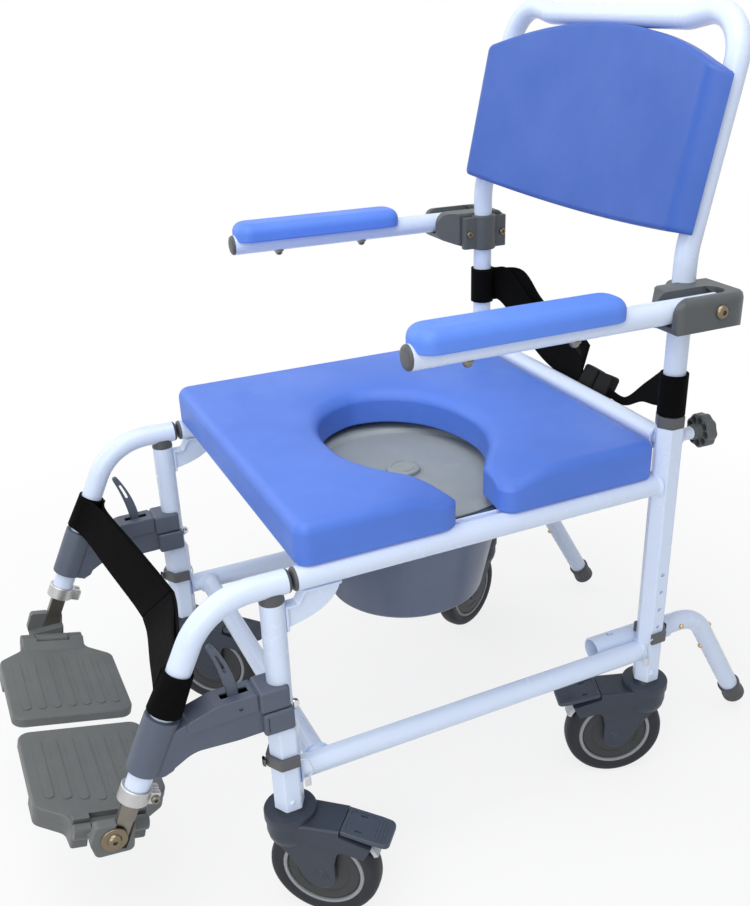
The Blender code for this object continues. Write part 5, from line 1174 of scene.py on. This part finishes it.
tube_bed = swept([(arm_x, arm_front - 0.01, arm_z), (arm_x, pad_back + 0.01, arm_z)], tube_r + 0.0003)
arm_foam = carved(arm_foam, tube_bed)
for vert in arm_foam.verts:
    along = (vert.co.y - pad_front) / (pad_back - pad_front)
    if vert.co.z > arm_z + 0.016:
        crown = max(0, 1 - ((vert.co.x - arm_x) / pad_half) ** 2)
        vert.co.z += 0.0025 * math.sin(math.pi * max(0, min(1, along))) * crown
# The arm pads' blue is a lighter copy of the seat's blue: painted light standing in for the brighter light on their
# upturned tops.
arm_skin_painted_light = foam_skin("arm_foam_skin", (0.115, 0.265, 0.860))
for pad_piece in fitted_pair(arm_foam, "arm_foam_pad", arm_skin_painted_light, "arm_{}", ["arm_pad_{}"], 50):
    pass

# Hand knobs: a grey nylon knob with a fluted rim, dents round its hub and a plated screw, turned through the boss
# behind each rear leg to pinch the cane.
knob_from = boss_y + 0.018 + 0.0003
head_from = knob_from + 0.009
head_to = knob_from + 0.023
knob_r = 0.0197
flutes = 9
dent_r = 0.0138
lobes = []
for i in range(128):
    angle = 2 * math.pi * i / 128
    lobe = knob_r + 0.0007 * math.cos(flutes * angle)
    lobes.append((leg_x + lobe * math.cos(angle), knob_z + lobe * math.sin(angle)))
knob_grey = moulded("knob_nylon", "grey_plastic", (0.094, 0.104, 0.106), 0.44)
knob_head = slab(lobes, -head_to, -head_from, 0.0022, FROM_REAR)
knob_dents = []
for i in range(flutes):
    angle = 2 * math.pi * i / flutes
    dent = Vector((leg_x + dent_r * math.cos(angle), knob_from + 0.0080, knob_z + dent_r * math.sin(angle)))
    knob_dents.append(swept([dent, dent + Vector((0, 0.0100, 0))], 0.0041, 20))
knob_head = carved(knob_head, *knob_dents)
knob_hub = lathed([(0, 0), (0.0082, 0), (0.0088, 0.0008), (0.0090, 0.0060), (0.0105, 0.0095), (0, 0.0095)],
                  (leg_x, knob_from, knob_z), (0, 1, 0), 40)
knob_face = lathed([(0, 0.0012), (0.0080, 0.0012), (0.0090, 0.0004), (0.0092, -0.0010), (0, -0.0010)],
                   (leg_x, head_to, knob_z), (0, 1, 0), 40)
knob_screw = swept([(leg_x, wheelbase + tube_r + 0.0006, knob_z), (leg_x, knob_from + 0.004, knob_z)], 0.0038, 24)
fitted_pair(together(knob_head, knob_hub, knob_face), "knob_lobes", knob_grey, "back_knob_{}", ["back_knob_{}"])
fitted_pair(knob_screw, "knob_screw", chrome, "back_knob_{}")

# Lap belt: black webbing sewn round each cane and hanging behind the cross tube, with a loose second layer on the
# right and a moulded side release buckle between the two halves.
belt_w = 0.048
belt_thick = 0.0024
belt_loop_r = tube_r + 0.0022
buckle_x = 0.035
buckle_z = 0.478
belt_y = wheelbase + 0.026
belt_weave = webbing("belt_webbing", 0.0030, (0.0030, 0.0030, 0.0034))
belt_paths = (("left", 1, 0.507,
               [(0.212, 0.0161, 0.533, 0.98), (0.190, 0.0210, 0.528, 0.98), (0.165, 0.0260, 0.518, 0.98),
                (0.130, 0.0290, 0.499, 0.52), (0.096, 0.0280, 0.4755, 0.23),
                (buckle_x + 0.029, 0.0260, buckle_z, 0.22)]),
              ("right", -1, 0.533,
               [(-0.212, 0.0161, 0.557, 0.98), (-0.182, 0.0225, 0.556, 0.98), (-0.104, 0.0340, 0.502, 0.96),
                (-0.038, 0.0320, 0.487, 0.94), (buckle_x - 0.029, 0.0260, buckle_z, 0.88)]))
for side_name, side, belt_low, path in belt_paths:
    cane = Vector((side * leg_x, wheelbase, 0))
    wrap = loop_band(cane, Vector((0, 0, 1)), Vector((0, 1, 0)), belt_loop_r, belt_low, belt_low + belt_w)
    loop = woven(wrap, f"belt_loop_{side_name}", belt_weave, "back", [f"lap_belt_{side_name}"], belt_thick)
    line = smooth_line([(x, wheelbase + back, z) for x, back, z, wide in path], 9)
    shares = [i / (len(line) - 1) for i in range(len(line))]
    ripple = 0.03 * (1 - side)
    leans = [0.30 * math.sin(math.pi * share) + ripple * math.sin(9 * share) for share in shares]
    ways = [Vector((0, lean_y, 1)).normalized() for lean_y in leans]
    widths = [belt_w * p.x for p in smooth_line([(wide, 0, 0) for x, back, z, wide in path], 9)]
    area = sum((b - a).length * (m + n) / 2 for a, b, m, n in zip(line, line[1:], widths, widths[1:]))
    run = woven(band(line, ways, widths), f"belt_run_{side_name}", belt_weave, "back", [], belt_thick)
    length_of(line)
slack_w = 0.94 * belt_w
slack_from = Vector((-leg_x + 0.0060, wheelbase + tube_r + 0.0062, 0.533 + belt_w / 2))
slack_to = Vector((0.0020, belt_y + 0.0060, 0.4985))
slack_points = [slack_from.lerp(slack_to, share) + Vector((0, back, rise))
                for share, back, rise in ((0.18, 0.010, 0.015), (0.36, 0.018, -0.004), (0.58, 0.024, -0.006),
                                          (0.82, 0.016, 0.002))]
slack_line = smooth_line([slack_from, *slack_points, slack_to], 8)
slack_leans = [0.45 * math.sin(7 * i / (len(slack_line) - 1)) for i in range(len(slack_line))]
slack_band = band(slack_line, [Vector((0, lean_y, 1)).normalized() for lean_y in slack_leans],
                  [slack_w] * len(slack_line))
slack = woven(slack_band, "belt_slack_right", belt_weave, "back", [], belt_thick)
length_of(slack_line)
buckle_black = moulded("buckle_nylon", "dark_plastic", (0.005, 0.005, 0.0055), 0.50, shine=0.12)
housing_plan = rounded([(buckle_x - 0.0300, buckle_z - 0.0190, 0.004), (buckle_x - 0.0005, buckle_z - 0.0178, 0.003),
                        (buckle_x - 0.0005, buckle_z + 0.0178, 0.003), (buckle_x - 0.0300, buckle_z + 0.0190, 0.004)])
housing = slab(housing_plan, -belt_y - 0.0078, -belt_y + 0.0078, 0.0030, FROM_REAR)
tongue_plan = rounded([(buckle_x + 0.0003, buckle_z - 0.0170, 0.003), (buckle_x + 0.0300, buckle_z - 0.0190, 0.005),
                       (buckle_x + 0.0300, buckle_z + 0.0190, 0.005), (buckle_x + 0.0003, buckle_z + 0.0170, 0.003)])
tongue = slab(tongue_plan, -belt_y - 0.0070, -belt_y + 0.0070, 0.0026, FROM_REAR)
buckle_place = Vector((buckle_x, belt_y, buckle_z))
buckle_lean = Matrix.Translation((0, 0.0040, 0)) @ tipped(buckle_place, 28)
fitted(moved(together(housing, tongue), buckle_lean), "belt_buckle", buckle_black, "back")

# Anti-tip legs: bent tubes pushed into the sockets beside the rear legs, held by brass snap buttons, with a row of
# small holes and a ribbed rubber cup on the end.
tip_corner = Vector((socket_x, wheelbase + 0.101, rail_z))
tip_lean = math.radians(30)
tip_down = Vector((0, math.sin(tip_lean), -math.cos(tip_lean)))
tip_end = tip_corner + 0.181 * tip_down
tip_tube = swept(bent([(socket_x, wheelbase - 0.040, rail_z), tip_corner, tip_end], [0.050], 16), tube_r)
tip_back = Vector((0, math.cos(tip_lean), math.sin(tip_lean)))
tip_holes = [drill(0.0021, 0.003, tip_corner + s * tip_down - tube_r * tip_back, tip_back, 20)
             for s in (0.080, 0.098, 0.116)]
fitted_pair(carved(tip_tube, *tip_holes), "tip_leg", coat, "anti_tip_{}", ["anti_tip_tube_{}"])
brass = plated("brass_button", "chrome", (0.60, 0.44, 0.20), 0.24)
button = [(0, 0.0030), (0.0020, 0.0027), (0.0033, 0.0016), (0.0036, 0.0002), (0.0036, -0.0010), (0, -0.0010)]
buttons = [lathed(button, (socket_x + tube_r, wheelbase + 0.068, rail_z), (1, 0, 0), 24),
           lathed(button, tip_corner + 0.034 * tip_down + tube_r * tip_back, tip_back, 24),
           lathed(button, tip_corner + 0.056 * tip_down - tube_r * tip_back, -tip_back, 24)]
fitted_pair(together(*buttons), "tip_buttons", brass, "anti_tip_{}")
cup_ring = [(0.0130, -0.0220), (0.0152, -0.0220), (0.0155, -0.0214), (0.0155, -0.0185), (0.0146, -0.0178),
            (0.0146, -0.0020), (0.0155, -0.0010), (0.0155, 0.0048), (0.0148, 0.0060), (0.0100, 0.0060),
            (0.0094, 0.0050), (0, 0.0050), (0, 0.0006), (0.0130, 0.0006)]
cup_rubber = moulded("cup_rubber", "tip_rubber", (0.092, 0.092, 0.098), 0.62, 700.0)
fitted_pair(ring(cup_ring, tip_end, tip_down, 48), "tip_cup", cup_rubber, "anti_tip_{}", ["anti_tip_cup_{}"])
